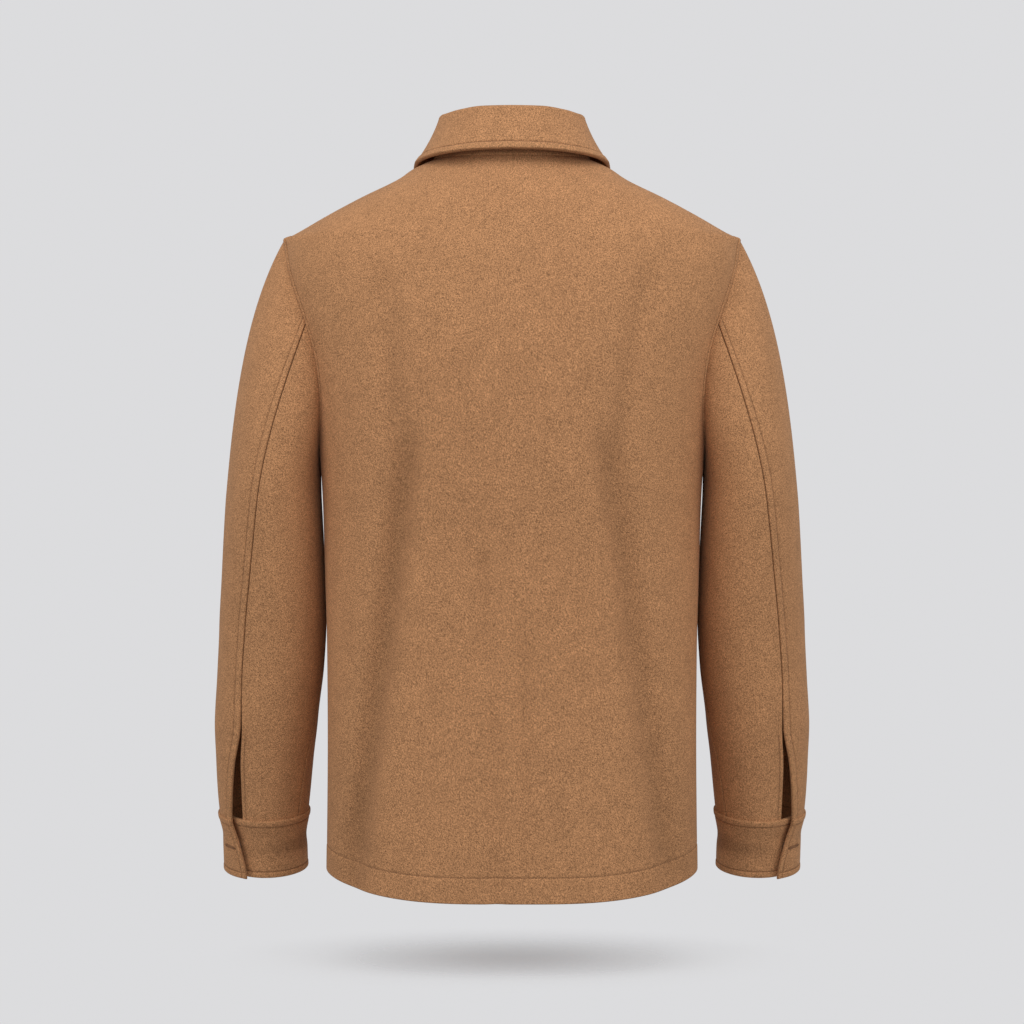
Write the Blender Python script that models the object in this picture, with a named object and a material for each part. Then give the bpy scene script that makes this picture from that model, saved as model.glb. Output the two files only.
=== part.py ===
"""Overshirt in brushed camel wool, filled out as when worn and open at neck, hem, cuffs.

Metres, +Z up.  The front faces -Y, the back +Y, the wearer's left side is +X.
The origin lies between the two shoulder-neck points, in the middle of the neck opening.
Every panel is a wall of cloth whose outer points lie on one garment surface.
"""
from bisect import bisect_right
from collections import namedtuple
from math import acos, atan2, cos, exp, pi, radians, sin

import bmesh
import bpy
from mathutils import Matrix, Vector

# ---------------------------------------------------------------- driving dimensions
CLOTH = 0.0025                # one layer of coating wool
HEM_CLOTH = 0.0046            # the hem, turned up inside
HEM_DEPTH = 0.025
COLLAR_CLOTH = 0.0036         # two layers and their interlining
STAND_CLOTH = 0.0030
CUFF_CLOTH = 0.0040
SEAM_GAP = 0.0003             # clear space between two pieces at a seam
NECK_GAP = 0.0007             # the same between the body and the collar stand
FOLD_GAP = 0.0008             # the same between the stand and the collar leaf's inner foot
LAP_GAP = 0.0010              # between the two layers of the button stand
SLEEVE_SEAM_SHARE = 0.0006    # half a sleeve seam's clearance, as a share of the way round

SHOULDER_TIP = -0.0734        # height of the sleeve head's seam
UNDERARM = -0.294
HEM_AT_SIDE = -0.7116
HEM_DROP = 0.0226             # the hem curves down this far between the side seams
HEM_FULLNESS = 1.1            # and does so sooner than a plain arc
TIP_ROUNDING = 0.032          # share of the width shaved off round the shoulder tip's ridge

SLEEVE_MIDDLE = Vector((0.247, -0.010, 0.0))
SLEEVE_PUFF = 0.092           # how strongly the sleeve head swells out at the outer side
HEAD_LEAVING = 0.30           # share of its length over which the head keeps its first direction
HEAD_ARRIVING = 0.34          # and over which it already runs down the arm

NECK_HALF_WIDTH = 0.080
NECK_TOP = 0.008              # height of the shoulder-neck point
BACK_NECK_DROP = 0.006
FRONT_NECK_DROP = 0.078

FRONT_LAP = 0.0175            # how far each front runs past the centre line
PLACKET_LINE = 0.0300         # stitched inner line of the button stand
STEP_LINE = 0.0200            # the under front is one layer deeper from here on
LEAF_END = 0.0075             # the collar leaf stops this far short of centre front
# Where the columns of cloth lie across the button stand, from its inner line to its edge.
LAP_COLUMNS = {
    1: (0.0225, LEAF_END, -LEAF_END, -FRONT_LAP),
    -1: (0.0270, STEP_LINE, LEAF_END, -FRONT_LAP),
}

CUFF_TOP = -0.6603
CUFF_HEIGHT = 0.0620
CUFF_LAP = 0.0080             # the cuff's upper end stands this far outside the under end
CUFF_UNDER_END = 26.0         # degrees round the wrist, 0 at the outer side, 90 at the back
CUFF_OVER_END = 408.0         # the lapped end at the cuff's top, one turn and more further
CUFF_OVER_SWING = 18.0        # and how far it swings on toward the bottom edge
CUFF_TOP_WIDTH, CUFF_TOP_DEPTH = 0.0836, 0.0930
CUFF_WIDTH, CUFF_DEPTH = 0.0762, 0.0820
CUFF_TILT = radians(8.5)
CUFF_MIDDLE = Vector((0.2545, -0.035, 0.0))

BUTTON_RADIUS = 0.009
BUTTON_THICKNESS = 0.0035
CUFF_BUTTON_ANGLE = 44.0
CUFF_BUTTON_RADIUS = 0.0070
CUFF_BUTTON_THICKNESS = 0.0022
FIRST_BUTTON = -0.128
BUTTON_PITCH = 0.098

SHOULDER_COLUMNS = 8          # cells along a shoulder seam
NECK_COLUMNS = 6              # cells from the shoulder seam to the centre of the neck
BODY_COLUMNS = SHOULDER_COLUMNS + NECK_COLUMNS
SHOULDER_SHARE = SHOULDER_COLUMNS / BODY_COLUMNS
CHEST_ROWS = 12               # cells from the underarm to the shoulder or the neck
WAIST_ROWS = 9                # cells from the underarm to the hem's stitching
CAP_ROWS = 8                  # cells from the armhole to the first full ring of the sleeve
ARM_ROWS = 8
BACK_SEAM_ROW = 7             # the sleeve's back seam starts at this row of the armhole
CUFF_COLUMNS = 34

WOOL_COLOUR = (0.402, 0.202, 0.094, 1.0)
HORN_COLOUR = (0.075, 0.036, 0.018, 1.0)

# ---------------------------------------------------------------- short tables
TORSO_COLUMNS = "height half_width side_y back_y front_y squareness"
TORSO_ROWS = (
    (0.0080, 0.0800, -0.0050, 0.0600, -0.0400, 2.10),
    (-0.0030, 0.1035, -0.0050, 0.0665, -0.0500, 2.12),
    (-0.0120, 0.1160, -0.0050, 0.0720, -0.0560, 2.17),
    (-0.0320, 0.1560, -0.0050, 0.0820, -0.0680, 2.25),
    (-0.0530, 0.1955, -0.0050, 0.0905, -0.0800, 2.33),
    (-0.0700, 0.2265, -0.0050, 0.0955, -0.0875, 2.39),
    (-0.0734, 0.2336, -0.0050, 0.0965, -0.0890, 2.40),
    (-0.1000, 0.2305, -0.0050, 0.1035, -0.0990, 2.48),
    (-0.1300, 0.2255, -0.0050, 0.1090, -0.1100, 2.55),
    (-0.1600, 0.2185, -0.0050, 0.1130, -0.1200, 2.60),
    (-0.1900, 0.2105, -0.0050, 0.1155, -0.1280, 2.60),
    (-0.2200, 0.2048, -0.0050, 0.1165, -0.1330, 2.60),
    (-0.2500, 0.2005, -0.0050, 0.1165, -0.1350, 2.60),
    (-0.2940, 0.1962, -0.0050, 0.1150, -0.1340, 2.60),
    (-0.3400, 0.1932, -0.0045, 0.1125, -0.1310, 2.60),
    (-0.4000, 0.1910, 0.0010, 0.1090, -0.1270, 2.60),
    (-0.5000, 0.1878, 0.0090, 0.1090, -0.1240, 2.60),
    (-0.6000, 0.1869, 0.0150, 0.1130, -0.1245, 2.60),
    (-0.7116, 0.1876, 0.0195, 0.1180, -0.1250, 2.60),
    (-0.7400, 0.1880, 0.0200, 0.1190, -0.1250, 2.60),
)

# The armhole from the underarm up to the shoulder tip, on the back.
ARMHOLE_COLUMNS = "from_side_line height"
ARMHOLE_ROWS = (
    (0.0000, -0.2940),
    (0.0220, -0.2870),
    (0.0440, -0.2620),
    (0.0555, -0.2250),
    (0.0565, -0.1850),
    (0.0505, -0.1520),
    (0.0350, -0.1180),
    (0.0170, -0.0910),
    (0.0000, -0.0734),
)
FRONT_ARMHOLE = 0.97          # the front's armhole is this much flatter
ARMHOLE_MIDDLE = Vector((0.205, -0.005, -0.185))

# Soft hollows down the back: where each starts and ends, how wide and how deep it is.
FOLD_COLUMNS = "top_x bottom_x top bottom half_width depth"
BACK_FOLDS = (
    (0.096, 0.134, -0.22, -0.70, 0.024, 0.0040),
    (-0.100, -0.140, -0.24, -0.70, 0.024, 0.0028),
    (0.022, 0.024, -0.45, -0.76, 0.014, 0.0014),
    (-0.022, -0.024, -0.48, -0.76, 0.014, 0.0014),
)

# Rings of the hanging sleeve below the armhole.
SLEEVE_COLUMNS = "height centre_x centre_y half_width half_depth tilt back_seam vent under_seam"
SLEEVE_ROWS = (
    (-0.3000, 0.2433, -0.0040, 0.0458, 0.0795, 0.0, 84.0, 0.0, 180.0),
    (-0.3400, 0.2443, -0.0060, 0.0487, 0.0775, 0.0, 79.0, 0.0, 180.0),
    (-0.4200, 0.2452, -0.0120, 0.0530, 0.0690, 0.5, 70.0, 0.0, 178.0),
    (-0.4700, 0.2463, -0.0160, 0.0549, 0.0635, 1.5, 65.5, 0.0, 175.5),
    (-0.5100, 0.2486, -0.0190, 0.0547, 0.0602, 2.8, 64.0, 0.0, 172.5),
    (-0.5650, 0.2530, -0.0230, 0.0518, 0.0560, 5.0, 66.0, 0.3, 164.0),
    (-0.6060, 0.2539, -0.0270, 0.0466, 0.0510, 7.5, 61.0, 5.0, 153.0),
    (-0.6600, 0.2545, -0.0335, 0.0405, 0.0450, 8.5, 58.5, 10.5, 146.0),
)
SLEEVE_TOP_RING = -0.34
SLEEVE_END = -0.6600

# Height of the stand and how far it leans in, from centre back (0) by the shoulder-neck
# point (0.5) to centre front (1), and where the collar's free edge lies.
COLLAR_COLUMNS = "turn rise inward edge_x edge_y edge_z sag"
COLLAR_ROWS = (
    (0.00, 0.0427, 0.0040, 0.0000, 0.0850, 0.0085, 0.0008),
    (0.12, 0.0423, 0.0045, 0.0326, 0.0815, 0.0078, 0.0008),
    (0.25, 0.0405, 0.0105, 0.0617, 0.0700, 0.0058, 0.0012),
    (0.38, 0.0385, 0.0115, 0.0840, 0.0445, 0.0042, 0.0028),
    (0.50, 0.0380, 0.0115, 0.1015, -0.0050, 0.0030, 0.0034),
    (0.62, 0.0375, 0.0110, 0.1025, -0.0450, -0.0150, 0.0025),
    (0.75, 0.0360, 0.0100, 0.0940, -0.0785, -0.0500, 0.0005),
    (0.88, 0.0320, 0.0065, 0.0740, -0.0975, -0.0820, 0.0000),
    (0.97, 0.0280, 0.0075, 0.0520, -0.1065, -0.1030, 0.0000),
    (1.00, 0.0275, 0.0078, 0.0480, -0.1070, -0.1060, 0.0000),
)
LEAF_FOOT = 0.004             # the leaf rises this far above the stand before it folds over
FOLD_RADIUS = 0.0032
RIM_RISE = 0.0007             # the leaf's edge is this much thicker outside its stitching
LEAF_FOLDED, LEAF_EDGE = 4, 8  # stations across the leaf: where the fold ends, and its free edge
RIM_STATION = 7
STITCH = 0.004                # step for reading the direction of a surface


# ---------------------------------------------------------------- curves and tables
def monotone_slopes(keys, values):
    """Slopes that keep a curve through the values from overshooting them."""
    runs = [(values[i + 1] - values[i]) / (keys[i + 1] - keys[i]) for i in range(len(keys) - 1)]
    slopes = [runs[0]]
    for before, after in zip(runs, runs[1:]):
        turning = before * after <= 0
        slopes.append(0.0 if turning else 2 * before * after / (before + after))
    slopes.append(runs[-1])
    return slopes


def smooth_table(names, rows):
    """A function that reads every column of the table at any key of its first column."""
    Row = namedtuple("Row", names)
    rows = sorted(rows)
    keys = [row[0] for row in rows]
    columns = list(zip(*rows))
    slopes = [monotone_slopes(keys, column) for column in columns]

    def read(key):
        key = min(max(key, keys[0]), keys[-1])
        i = min(max(bisect_right(keys, key) - 1, 0), len(keys) - 2)
        step = keys[i + 1] - keys[i]
        t = (key - keys[i]) / step
        start, start_slope = 2 * t**3 - 3 * t**2 + 1, t**3 - 2 * t**2 + t
        end, end_slope = 3 * t**2 - 2 * t**3, t**3 - t**2
        return Row(*[
            start * c[i] + start_slope * step * m[i] + end * c[i + 1] + end_slope * step * m[i + 1]
            for c, m in zip(columns, slopes)
        ])

    return read


torso = smooth_table(TORSO_COLUMNS, TORSO_ROWS)
sleeve_ring = smooth_table(SLEEVE_COLUMNS, SLEEVE_ROWS)
collar = smooth_table(COLLAR_COLUMNS, COLLAR_ROWS)
Fold = namedtuple("Fold", FOLD_COLUMNS)


def mix(a, b, share):
    return a + (b - a) * share


def ease(share):
    share = min(max(share, 0.0), 1.0)
    return share * share * (3 - 2 * share)


# ---------------------------------------------------------------- the body's surface
def torso_point(side, angle, height):
    """Outer surface of the body; angle is 0 at the side seam, +90 at the back, -90 in front."""
    row = torso(height)
    depth = row.back_y - row.side_y if angle > 0 else row.side_y - row.front_y
    c, s, n = cos(angle), sin(angle), row.squareness
    reach = (abs(c) ** n + abs(s) ** n) ** (-1 / n)
    shaved = TIP_ROUNDING * exp(-(((height - SHOULDER_TIP) / 0.018) ** 2)) * ease(abs(angle) / 0.4)
    x = side * row.half_width * reach * c * (1 - shaved)
    y = row.side_y + depth * reach * s
    if angle > 0:
        y -= back_hollow(x, height)
    return Vector((x, y, height))


def back_hollow(x, height):
    """How far the soft vertical folds draw the back in."""
    hollow = 0.0
    for fold in (Fold(*row) for row in BACK_FOLDS):
        down = (fold.top - height) / (fold.top - fold.bottom)
        centre = mix(fold.top_x, fold.bottom_x, down)
        along = ease(down * 5) * ease((1.15 - down) * 5)
        hollow += fold.depth * along * exp(-(((x - centre) / fold.half_width) ** 2))
    return hollow


def torso_normal(side, angle, height):
    turn, drop = 0.01, 0.002
    across = torso_point(side, angle + turn, height) - torso_point(side, angle - turn, height)
    up = torso_point(side, angle, height + drop) - torso_point(side, angle, height - drop)
    return (across.cross(up) * side).normalized()


def angle_from_depth(from_side_line, height, face):
    """Angle of the surface point that lies this far behind or before the side line."""
    row = torso(height)
    depth = row.back_y - row.side_y if face > 0 else row.side_y - row.front_y
    y = min(max(from_side_line / depth, 0.0), 1.0)
    x = (1 - y**row.squareness) ** (1 / row.squareness)
    return face * atan2(y, x)


def angle_from_width(x, height, face):
    """Angle of the surface point at this distance from the centre line."""
    row = torso(height)
    share = min(max(x / row.half_width, -1.0), 1.0)
    y = (1 - abs(share) ** row.squareness) ** (1 / row.squareness)
    return face * atan2(y, share)


def armhole_outline(share):
    """Depth from the side line and height along the armhole, 0 underarm to 1 shoulder tip."""
    rows = [Vector(row) for row in ARMHOLE_ROWS]
    rows = [Vector((-rows[1].x, rows[1].y))] + rows + [Vector((-rows[-2].x, rows[-2].y))]
    along = min(max(share, 0.0), 1.0) * (len(ARMHOLE_ROWS) - 1)
    i = min(int(along), len(ARMHOLE_ROWS) - 2)
    t = along - i
    a, b, c, d = rows[i:i + 4]
    square, cube = 2 * a - 5 * b + 4 * c - d, 3 * b - a - 3 * c + d
    return 0.5 * (2 * b + (c - a) * t + square * t**2 + cube * t**3)


def armhole_place(share, face):
    """Angle and height of an armhole point on the body's surface."""
    depth, height = armhole_outline(share)
    depth *= 1.0 if face > 0 else FRONT_ARMHOLE
    return angle_from_depth(depth, height, face), height


def armhole_point(way):
    """The whole armhole: 0 at the underarm, up the back, 0.5 at the tip, down the front to 1."""
    face = 1 if way <= 0.5 else -1
    share = 2 * way if face > 0 else 2 - 2 * way
    return torso_point(1, *armhole_place(share, face))


def armhole_frame(way):
    """The armhole point, the way into the armhole's middle, and the way out along the arm."""
    before = armhole_point((way - STITCH) % 1.0)
    after = armhole_point((way + STITCH) % 1.0)
    along = (after - before).normalized()
    point = armhole_point(way)
    inward = ARMHOLE_MIDDLE - point
    inward = (inward - along * inward.dot(along)).normalized()
    return point, inward, along.cross(inward)


def neckline(turn):
    """Angle and height of the neck seam: 0 centre back, 0.5 shoulder, 1 centre front and on."""
    if turn < 0.5:
        round_neck = (1 - 2 * turn) * pi / 2
        face, drop = 1, BACK_NECK_DROP
    else:
        round_neck = (2 * turn - 1) * pi / 2
        face, drop = -1, FRONT_NECK_DROP
    height = NECK_TOP - drop * sin(round_neck)
    return angle_from_width(NECK_HALF_WIDTH * cos(round_neck), height, face), height


def shoulder_or_neck(u, face):
    """The panel's top edge, 0 at the shoulder tip and 1 at the centre of the neckline."""
    if u <= SHOULDER_SHARE:
        return 0.0, mix(SHOULDER_TIP, NECK_TOP, u / SHOULDER_SHARE)
    return neckline(neck_turn((u - SHOULDER_SHARE) / (1 - SHOULDER_SHARE), face))


def front_turn(x):
    """Where on the front neckline a point lies at this distance from the centre line."""
    return 0.5 + acos(x / NECK_HALF_WIDTH) / pi


def neck_turn(share, face):
    """Neckline place from the shoulder seam (0) to centre back or to the placket line (1)."""
    return 0.5 - 0.5 * share if face > 0 else mix(0.5, front_turn(PLACKET_LINE), share)


def centre_angle(height, face):
    return pi / 2 if face > 0 else angle_from_width(PLACKET_LINE, height, face)


def chest_place(u, v, face):
    """Angle and height above the underarm; u runs to the centre, v up to shoulder and neck."""
    low_angle, low = u * centre_angle(UNDERARM, face), UNDERARM
    top_angle, top = shoulder_or_neck(u, face)
    bend = 2.0 - 0.8 * ease((u - 0.5) / 0.5)
    rise = 1 - (1 - v) ** bend
    angle, height = mix(low_angle, top_angle, v), mix(low, top, rise)

    hole_angle, hole = armhole_place(v, face)
    straight = mix(UNDERARM, SHOULDER_TIP, 1 - (1 - v) ** 2)
    away = 1 - u
    angle += away * hole_angle
    height += away * (hole - straight)
    if face < 0:
        _, neck = shoulder_or_neck(1.0, face)
        middle = mix(UNDERARM, neck, 1 - (1 - v) ** 1.2)
        flat = mix(centre_angle(UNDERARM, face), centre_angle(neck, face), v)
        angle += u * (centre_angle(middle, face) - flat)
    return angle, height


def waist_place(u, v, face):
    """Angle and height below the underarm; v is 0 at the hem and 1 at the underarm."""
    middle = centre_angle(UNDERARM, face)
    round_hem = sin(u * abs(middle)) ** 2
    hem = HEM_AT_SIDE - HEM_DROP * (round_hem + HEM_FULLNESS * round_hem**2 * (1 - round_hem))
    height = mix(hem, UNDERARM, v)
    return u * centre_angle(height, face), height


def body_rows():
    """Row values from hem to top: up to 1 below the underarm, beyond 1 above it."""
    hem_share = HEM_DEPTH / (UNDERARM - HEM_AT_SIDE)
    rows = [0.0, hem_share * 0.94]
    start = hem_share * 1.08
    rows += [mix(start, 1.0, i / WAIST_ROWS) for i in range(WAIST_ROWS)]
    rows += [1 + i / CHEST_ROWS for i in range(CHEST_ROWS + 1)]
    return rows


def wall_at(row):
    return HEM_CLOTH if row * (UNDERARM - HEM_AT_SIDE) < HEM_DEPTH else CLOTH


def body_wall(side, u, row, face, placket_x=None):
    """Outer and inner point of a body panel, kept half a seam gap from its seams."""
    if row > 1:
        angle, height = chest_place(u, row - 1, face)
    else:
        angle, height = waist_place(u, row, face)
    if placket_x is not None:
        if row == 2:
            _, height = neckline(front_turn(placket_x))
        angle = angle_from_width(placket_x, height, face)

    section = torso(height)
    depth = section.back_y - section.side_y if face > 0 else section.side_y - section.front_y
    least = 0.5 * SEAM_GAP / depth
    if abs(angle) < least:
        angle = face * least
    outer = torso_point(side, angle, height)
    wall = wall_at(row)
    if u == 0 and row >= 1:
        share = row - 1
        way = 0.5 * share if face > 0 else 1 - 0.5 * share
        point, inward, outward = armhole_frame(way)
        turned = Matrix.Diagonal((side, 1, 1))
        outer = point - outward * (0.5 * SEAM_GAP)
        if share in (0.0, 1.0):
            outer.y = point.y + face * 0.5 * SEAM_GAP
            inward = Vector((inward.x, 0, inward.z)).normalized()
        return turned @ outer, turned @ (outer + inward * wall)
    return outer, outer - torso_normal(side, angle, height) * wall


# ---------------------------------------------------------------- the sleeve's surface
def cuff_lap(angle):
    """How far out the lapped end has moved at this angle, 0 to 1."""
    return ease((angle - 90) / 240)


def ring_point(angle, height):
    """Outer point of the sleeve tube; angle in degrees, 90 at the back, over 180 in front."""
    ring = sleeve_ring(height)
    turn, tilt = radians(angle), radians(ring.tilt)
    lap = CUFF_LAP * cuff_lap(angle) * ease((-0.52 - height) / 0.14)
    across = (ring.half_width + lap) * cos(turn)
    back = (ring.half_depth + lap) * sin(turn)
    return Vector((
        ring.centre_x + across,
        ring.centre_y + back * cos(tilt),
        height - back * sin(tilt),
    ))


def ring_angle(way, height, upper):
    """Degrees round the tube for a place round the armhole, on the upper or under sleeve."""
    ring = sleeve_ring(height)
    seam = 0.5 * BACK_SEAM_ROW / CHEST_ROWS
    if upper:
        return mix(360 + ring.back_seam - ring.vent, ring.under_seam, (way - seam) / (1 - seam))
    return mix(ring.under_seam, ring.back_seam, way / seam)


def sleeve_point(way, down, upper):
    """Outer sleeve surface: down is 0 at the armhole, 1 at the first full ring, 2 at the cuff."""
    if down >= 1:
        height = mix(SLEEVE_TOP_RING, SLEEVE_END, down - 1)
        return ring_point(ring_angle(way, height, upper), height)
    start, _, outward = armhole_frame(way)
    start = start + outward * (0.5 * SEAM_GAP)
    end_angle = ring_angle(way, SLEEVE_TOP_RING, upper)
    end = ring_point(end_angle, SLEEVE_TOP_RING)
    above = ring_point(ring_angle(way, SLEEVE_TOP_RING + 0.02, upper), SLEEVE_TOP_RING + 0.02)
    length = (end - start).length
    turn = radians(end_angle)
    puff = SLEEVE_PUFF * ((1 + cos(turn)) / 2) ** 1.2
    leave = (end - start + Vector((cos(turn), sin(turn), 0)) * puff).normalized()
    first = start + leave * (HEAD_LEAVING * length)
    second = end + (above - end).normalized() * (HEAD_ARRIVING * length)
    t, r = down, 1 - down
    return start * r**3 + first * (3 * r * r * t) + second * (3 * r * t * t) + end * t**3


def sleeve_wall(side, way, down, upper):
    outer = sleeve_point(way, down, upper)
    if down == 0:
        _, inward, _ = armhole_frame(way)
    else:
        low, high = max(down - STITCH, 0.0), min(down + STITCH, 2.0)
        after, before = sleeve_point(way + STITCH, down, upper), sleeve_point(way - STITCH, down, upper)
        round_arm = after - before
        along_arm = sleeve_point(way, high, upper) - sleeve_point(way, low, upper)
        inward = along_arm.cross(round_arm).normalized()
        to_middle = SLEEVE_MIDDLE - outer
        to_middle.z = 0
        if down >= 1 and inward.dot(to_middle) < 0:
            inward = -inward
    turned = Matrix.Diagonal((side, 1, 1))
    return turned @ outer, turned @ (outer + inward * CLOTH)


def cuff_point(share, down):
    """Outer cuff surface: share runs from the under end to the lapped end, down to the edge."""
    end = CUFF_OVER_END + CUFF_OVER_SWING * ease(down)
    angle = mix(CUFF_UNDER_END, end, share)
    top_ring = sleeve_ring(SLEEVE_END)
    turn = radians(angle)
    narrow = ease(down / 0.4)
    half_width = 0.5 * mix(CUFF_TOP_WIDTH, CUFF_WIDTH, narrow) + CUFF_LAP * cuff_lap(angle)
    half_depth = 0.5 * mix(CUFF_TOP_DEPTH, CUFF_DEPTH, narrow) + CUFF_LAP * cuff_lap(angle)
    back = half_depth * sin(turn)
    drop = CUFF_HEIGHT * down
    return Vector((
        top_ring.centre_x - 0.001 * down + half_width * cos(turn),
        top_ring.centre_y - drop * sin(CUFF_TILT) + back * cos(CUFF_TILT),
        CUFF_TOP - drop * cos(CUFF_TILT) - back * sin(CUFF_TILT),
    ))


def cuff_wall(side, share, down):
    outer = cuff_point(share, down)
    round_wrist = cuff_point(share + STITCH, down) - cuff_point(share - STITCH, down)
    downwards = cuff_point(share, down + STITCH) - cuff_point(share, down - STITCH)
    outward = round_wrist.cross(downwards).normalized()
    from_middle = outer - CUFF_MIDDLE
    from_middle.z = 0
    if outward.dot(from_middle) < 0:
        outward = -outward
    turned = Matrix.Diagonal((side, 1, 1))
    return turned @ outer, turned @ (outer - outward * CUFF_CLOTH)


# ---------------------------------------------------------------- the collar's surface
def neck_frame(turn):
    """Neck seam point, the body's normal there, and the outward way seen from above."""
    angle, height = neckline(turn)
    point = torso_point(1, angle, height)
    normal = torso_normal(1, angle, height)
    step = 0.01
    after = torso_point(1, *neckline(turn + step))
    before = torso_point(1, *neckline(turn - step)) if turn > step else None
    if before is None:
        along = Vector((1, 0, 0))
    else:
        along = (after - before).normalized()
    outward = Vector((-along.y, along.x, 0)).normalized()
    if turn > 0.8:
        outward = outward.lerp(Vector((0, -1, 0)), ease((turn - 0.8) / 0.1)).normalized()
    return point, normal, along, outward


def stand_top(turn):
    point, _, _, outward = neck_frame(turn)
    row = collar(min(turn, 2 - turn))
    return point + Vector((0, 0, row.rise)) - outward * row.inward


def stand_wall(turn, up, side):
    """Outer and inner point of the collar stand; past centre front the right end lies under."""
    point, normal, along, outward = neck_frame(turn)
    seam_up = along.cross(normal)
    if seam_up.z < 0:
        seam_up = -seam_up
    foot = point + seam_up * NECK_GAP
    head = stand_top(turn)
    level = outward.copy()
    direction = normal.lerp(level, min(up * 3, 1.0)).normalized()
    outer = foot.lerp(head, up)
    if side < 0 and turn >= front_turn(STEP_LINE):
        outer = outer - outward * (STAND_CLOTH + LAP_GAP)
    turned = Matrix.Diagonal((side, 1, 1))
    return turned @ outer, turned @ (outer - direction * STAND_CLOTH)


def fall_middle(turn, across):
    """Middle of the leaf's thickness: across is 0 on the stand, then over the fold to the edge."""
    _, _, _, outward = neck_frame(turn)
    base = stand_top(turn) - outward * (0.5 * STAND_CLOTH) + Vector((0, 0, FOLD_GAP))
    if across <= 1:
        return base + Vector((0, 0, LEAF_FOOT * across))
    if across <= LEAF_FOLDED:
        bend = pi * (across - 1) / (LEAF_FOLDED - 1)
        rise = LEAF_FOOT + FOLD_RADIUS * sin(bend)
        return base + Vector((0, 0, rise)) + outward * (FOLD_RADIUS * (1 - cos(bend)))
    row = collar(turn)
    start = base + Vector((0, 0, LEAF_FOOT)) + outward * (2 * FOLD_RADIUS)
    edge = Vector((row.edge_x, row.edge_y, row.edge_z))
    edge = edge + Vector((0, 0, 0.5 * COLLAR_CLOTH))
    t = (across - LEAF_FOLDED) / (LEAF_EDGE - LEAF_FOLDED)
    point = start.lerp(edge, t)
    return point - outward * (row.sag * 4 * t * (1 - t))


def fall_wall(signed_turn, across):
    """Outer and inner point of the collar leaf's wall, with its raised rim."""
    side = -1 if signed_turn < 0 else 1
    turn = abs(signed_turn)
    step = 0.02
    along = fall_middle(turn + step, across) - fall_middle(max(turn - step, 0.0), across)
    if turn < step:
        along = Vector((1, 0, 0))
    low, high = max(across - 0.25, 0.0), min(across + 0.25, LEAF_EDGE)
    down = fall_middle(turn, high) - fall_middle(turn, low)
    normal = along.cross(down).normalized()
    middle = fall_middle(turn, across)
    rim = RIM_RISE if across > RIM_STATION else 0.0
    turned = Matrix.Diagonal((side, 1, 1))
    half = 0.5 * COLLAR_CLOTH
    return turned @ (middle + normal * (half + rim)), turned @ (middle - normal * half)


# ---------------------------------------------------------------- building the solids
def material(name, colour, roughness):
    made = bpy.data.materials.new(name)
    made.use_nodes = True
    shader = made.node_tree.nodes["Principled BSDF"]
    shader.inputs["Base Color"].default_value = colour
    shader.inputs["Roughness"].default_value = roughness
    shader.inputs["Metallic"].default_value = 0.0
    return made


def add_object(name, bm, finish, collection):
    mesh = bpy.data.meshes.new(name)
    bmesh.ops.triangulate(bm, faces=bm.faces[:], quad_method="SHORT_EDGE")
    bmesh.ops.recalc_face_normals(bm, faces=bm.faces[:])
    if bm.calc_volume(signed=True) < 0:
        bmesh.ops.reverse_faces(bm, faces=bm.faces[:])
    bm.to_mesh(mesh)
    bm.free()
    mesh.materials.append(finish)
    mesh.shade_smooth()
    mesh.set_sharp_from_angle(angle=radians(40))
    made = bpy.data.objects.new(name, mesh)
    collection.objects.link(made)
    return made


def cloth_piece(name, columns, rows, wall, colour, collection):
    """A panel: a grid laid on the garment's surface, extruded to its inner side."""
    bm = bmesh.new()
    bmesh.ops.create_grid(bm, x_segments=len(columns) - 1, y_segments=len(rows) - 1, size=1.0)
    places = {}
    for vert in bm.verts:
        i = round((vert.co.x + 1) / 2 * (len(columns) - 1))
        j = round((vert.co.y + 1) / 2 * (len(rows) - 1))
        places[vert] = wall(columns[i], rows[j])
    inner = {}
    for vert in bm.verts:
        inner[tuple(vert.co)] = places[vert][1]
    grown = bmesh.ops.extrude_face_region(bm, geom=bm.faces[:])
    for vert in grown["geom"]:
        if isinstance(vert, bmesh.types.BMVert):
            vert.co = inner[tuple(vert.co)]
    for vert, (outer, _) in places.items():
        vert.co = outer
    finish = material(name + "_wool", colour, 0.95)
    return add_object(name, bm, finish, collection)


def build_body(collection):
    rows = body_rows()
    half = [i / BODY_COLUMNS for i in range(BODY_COLUMNS + 1)]
    back_columns = [(-1, u) for u in half] + [(1, u) for u in reversed(half[:-1])]
    cloth_piece(
        "back", back_columns, rows,
        lambda column, row: body_wall(column[0], column[1], row, 1),
        WOOL_COLOUR, collection,
    )
    main = [(u, None) for u in half]
    for side, name in ((1, "front_left"), (-1, "front_right")):
        columns = main + [(1.0, x) for x in LAP_COLUMNS[side]]
        cloth_piece(
            name, columns, rows,
            lambda column, row, side=side: front_wall(side, column, row),
            WOOL_COLOUR, collection,
        )


def front_wall(side, column, row):
    """A front's wall; the right one steps in under the left one's button stand."""
    u, placket_x = column
    outer, inner = body_wall(side, u, row, -1, placket_x)
    if side < 0 and placket_x is not None and placket_x <= STEP_LINE:
        step = Vector((0, wall_at(row) + LAP_GAP, 0))
        return outer + step, inner + step
    return outer, inner


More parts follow.
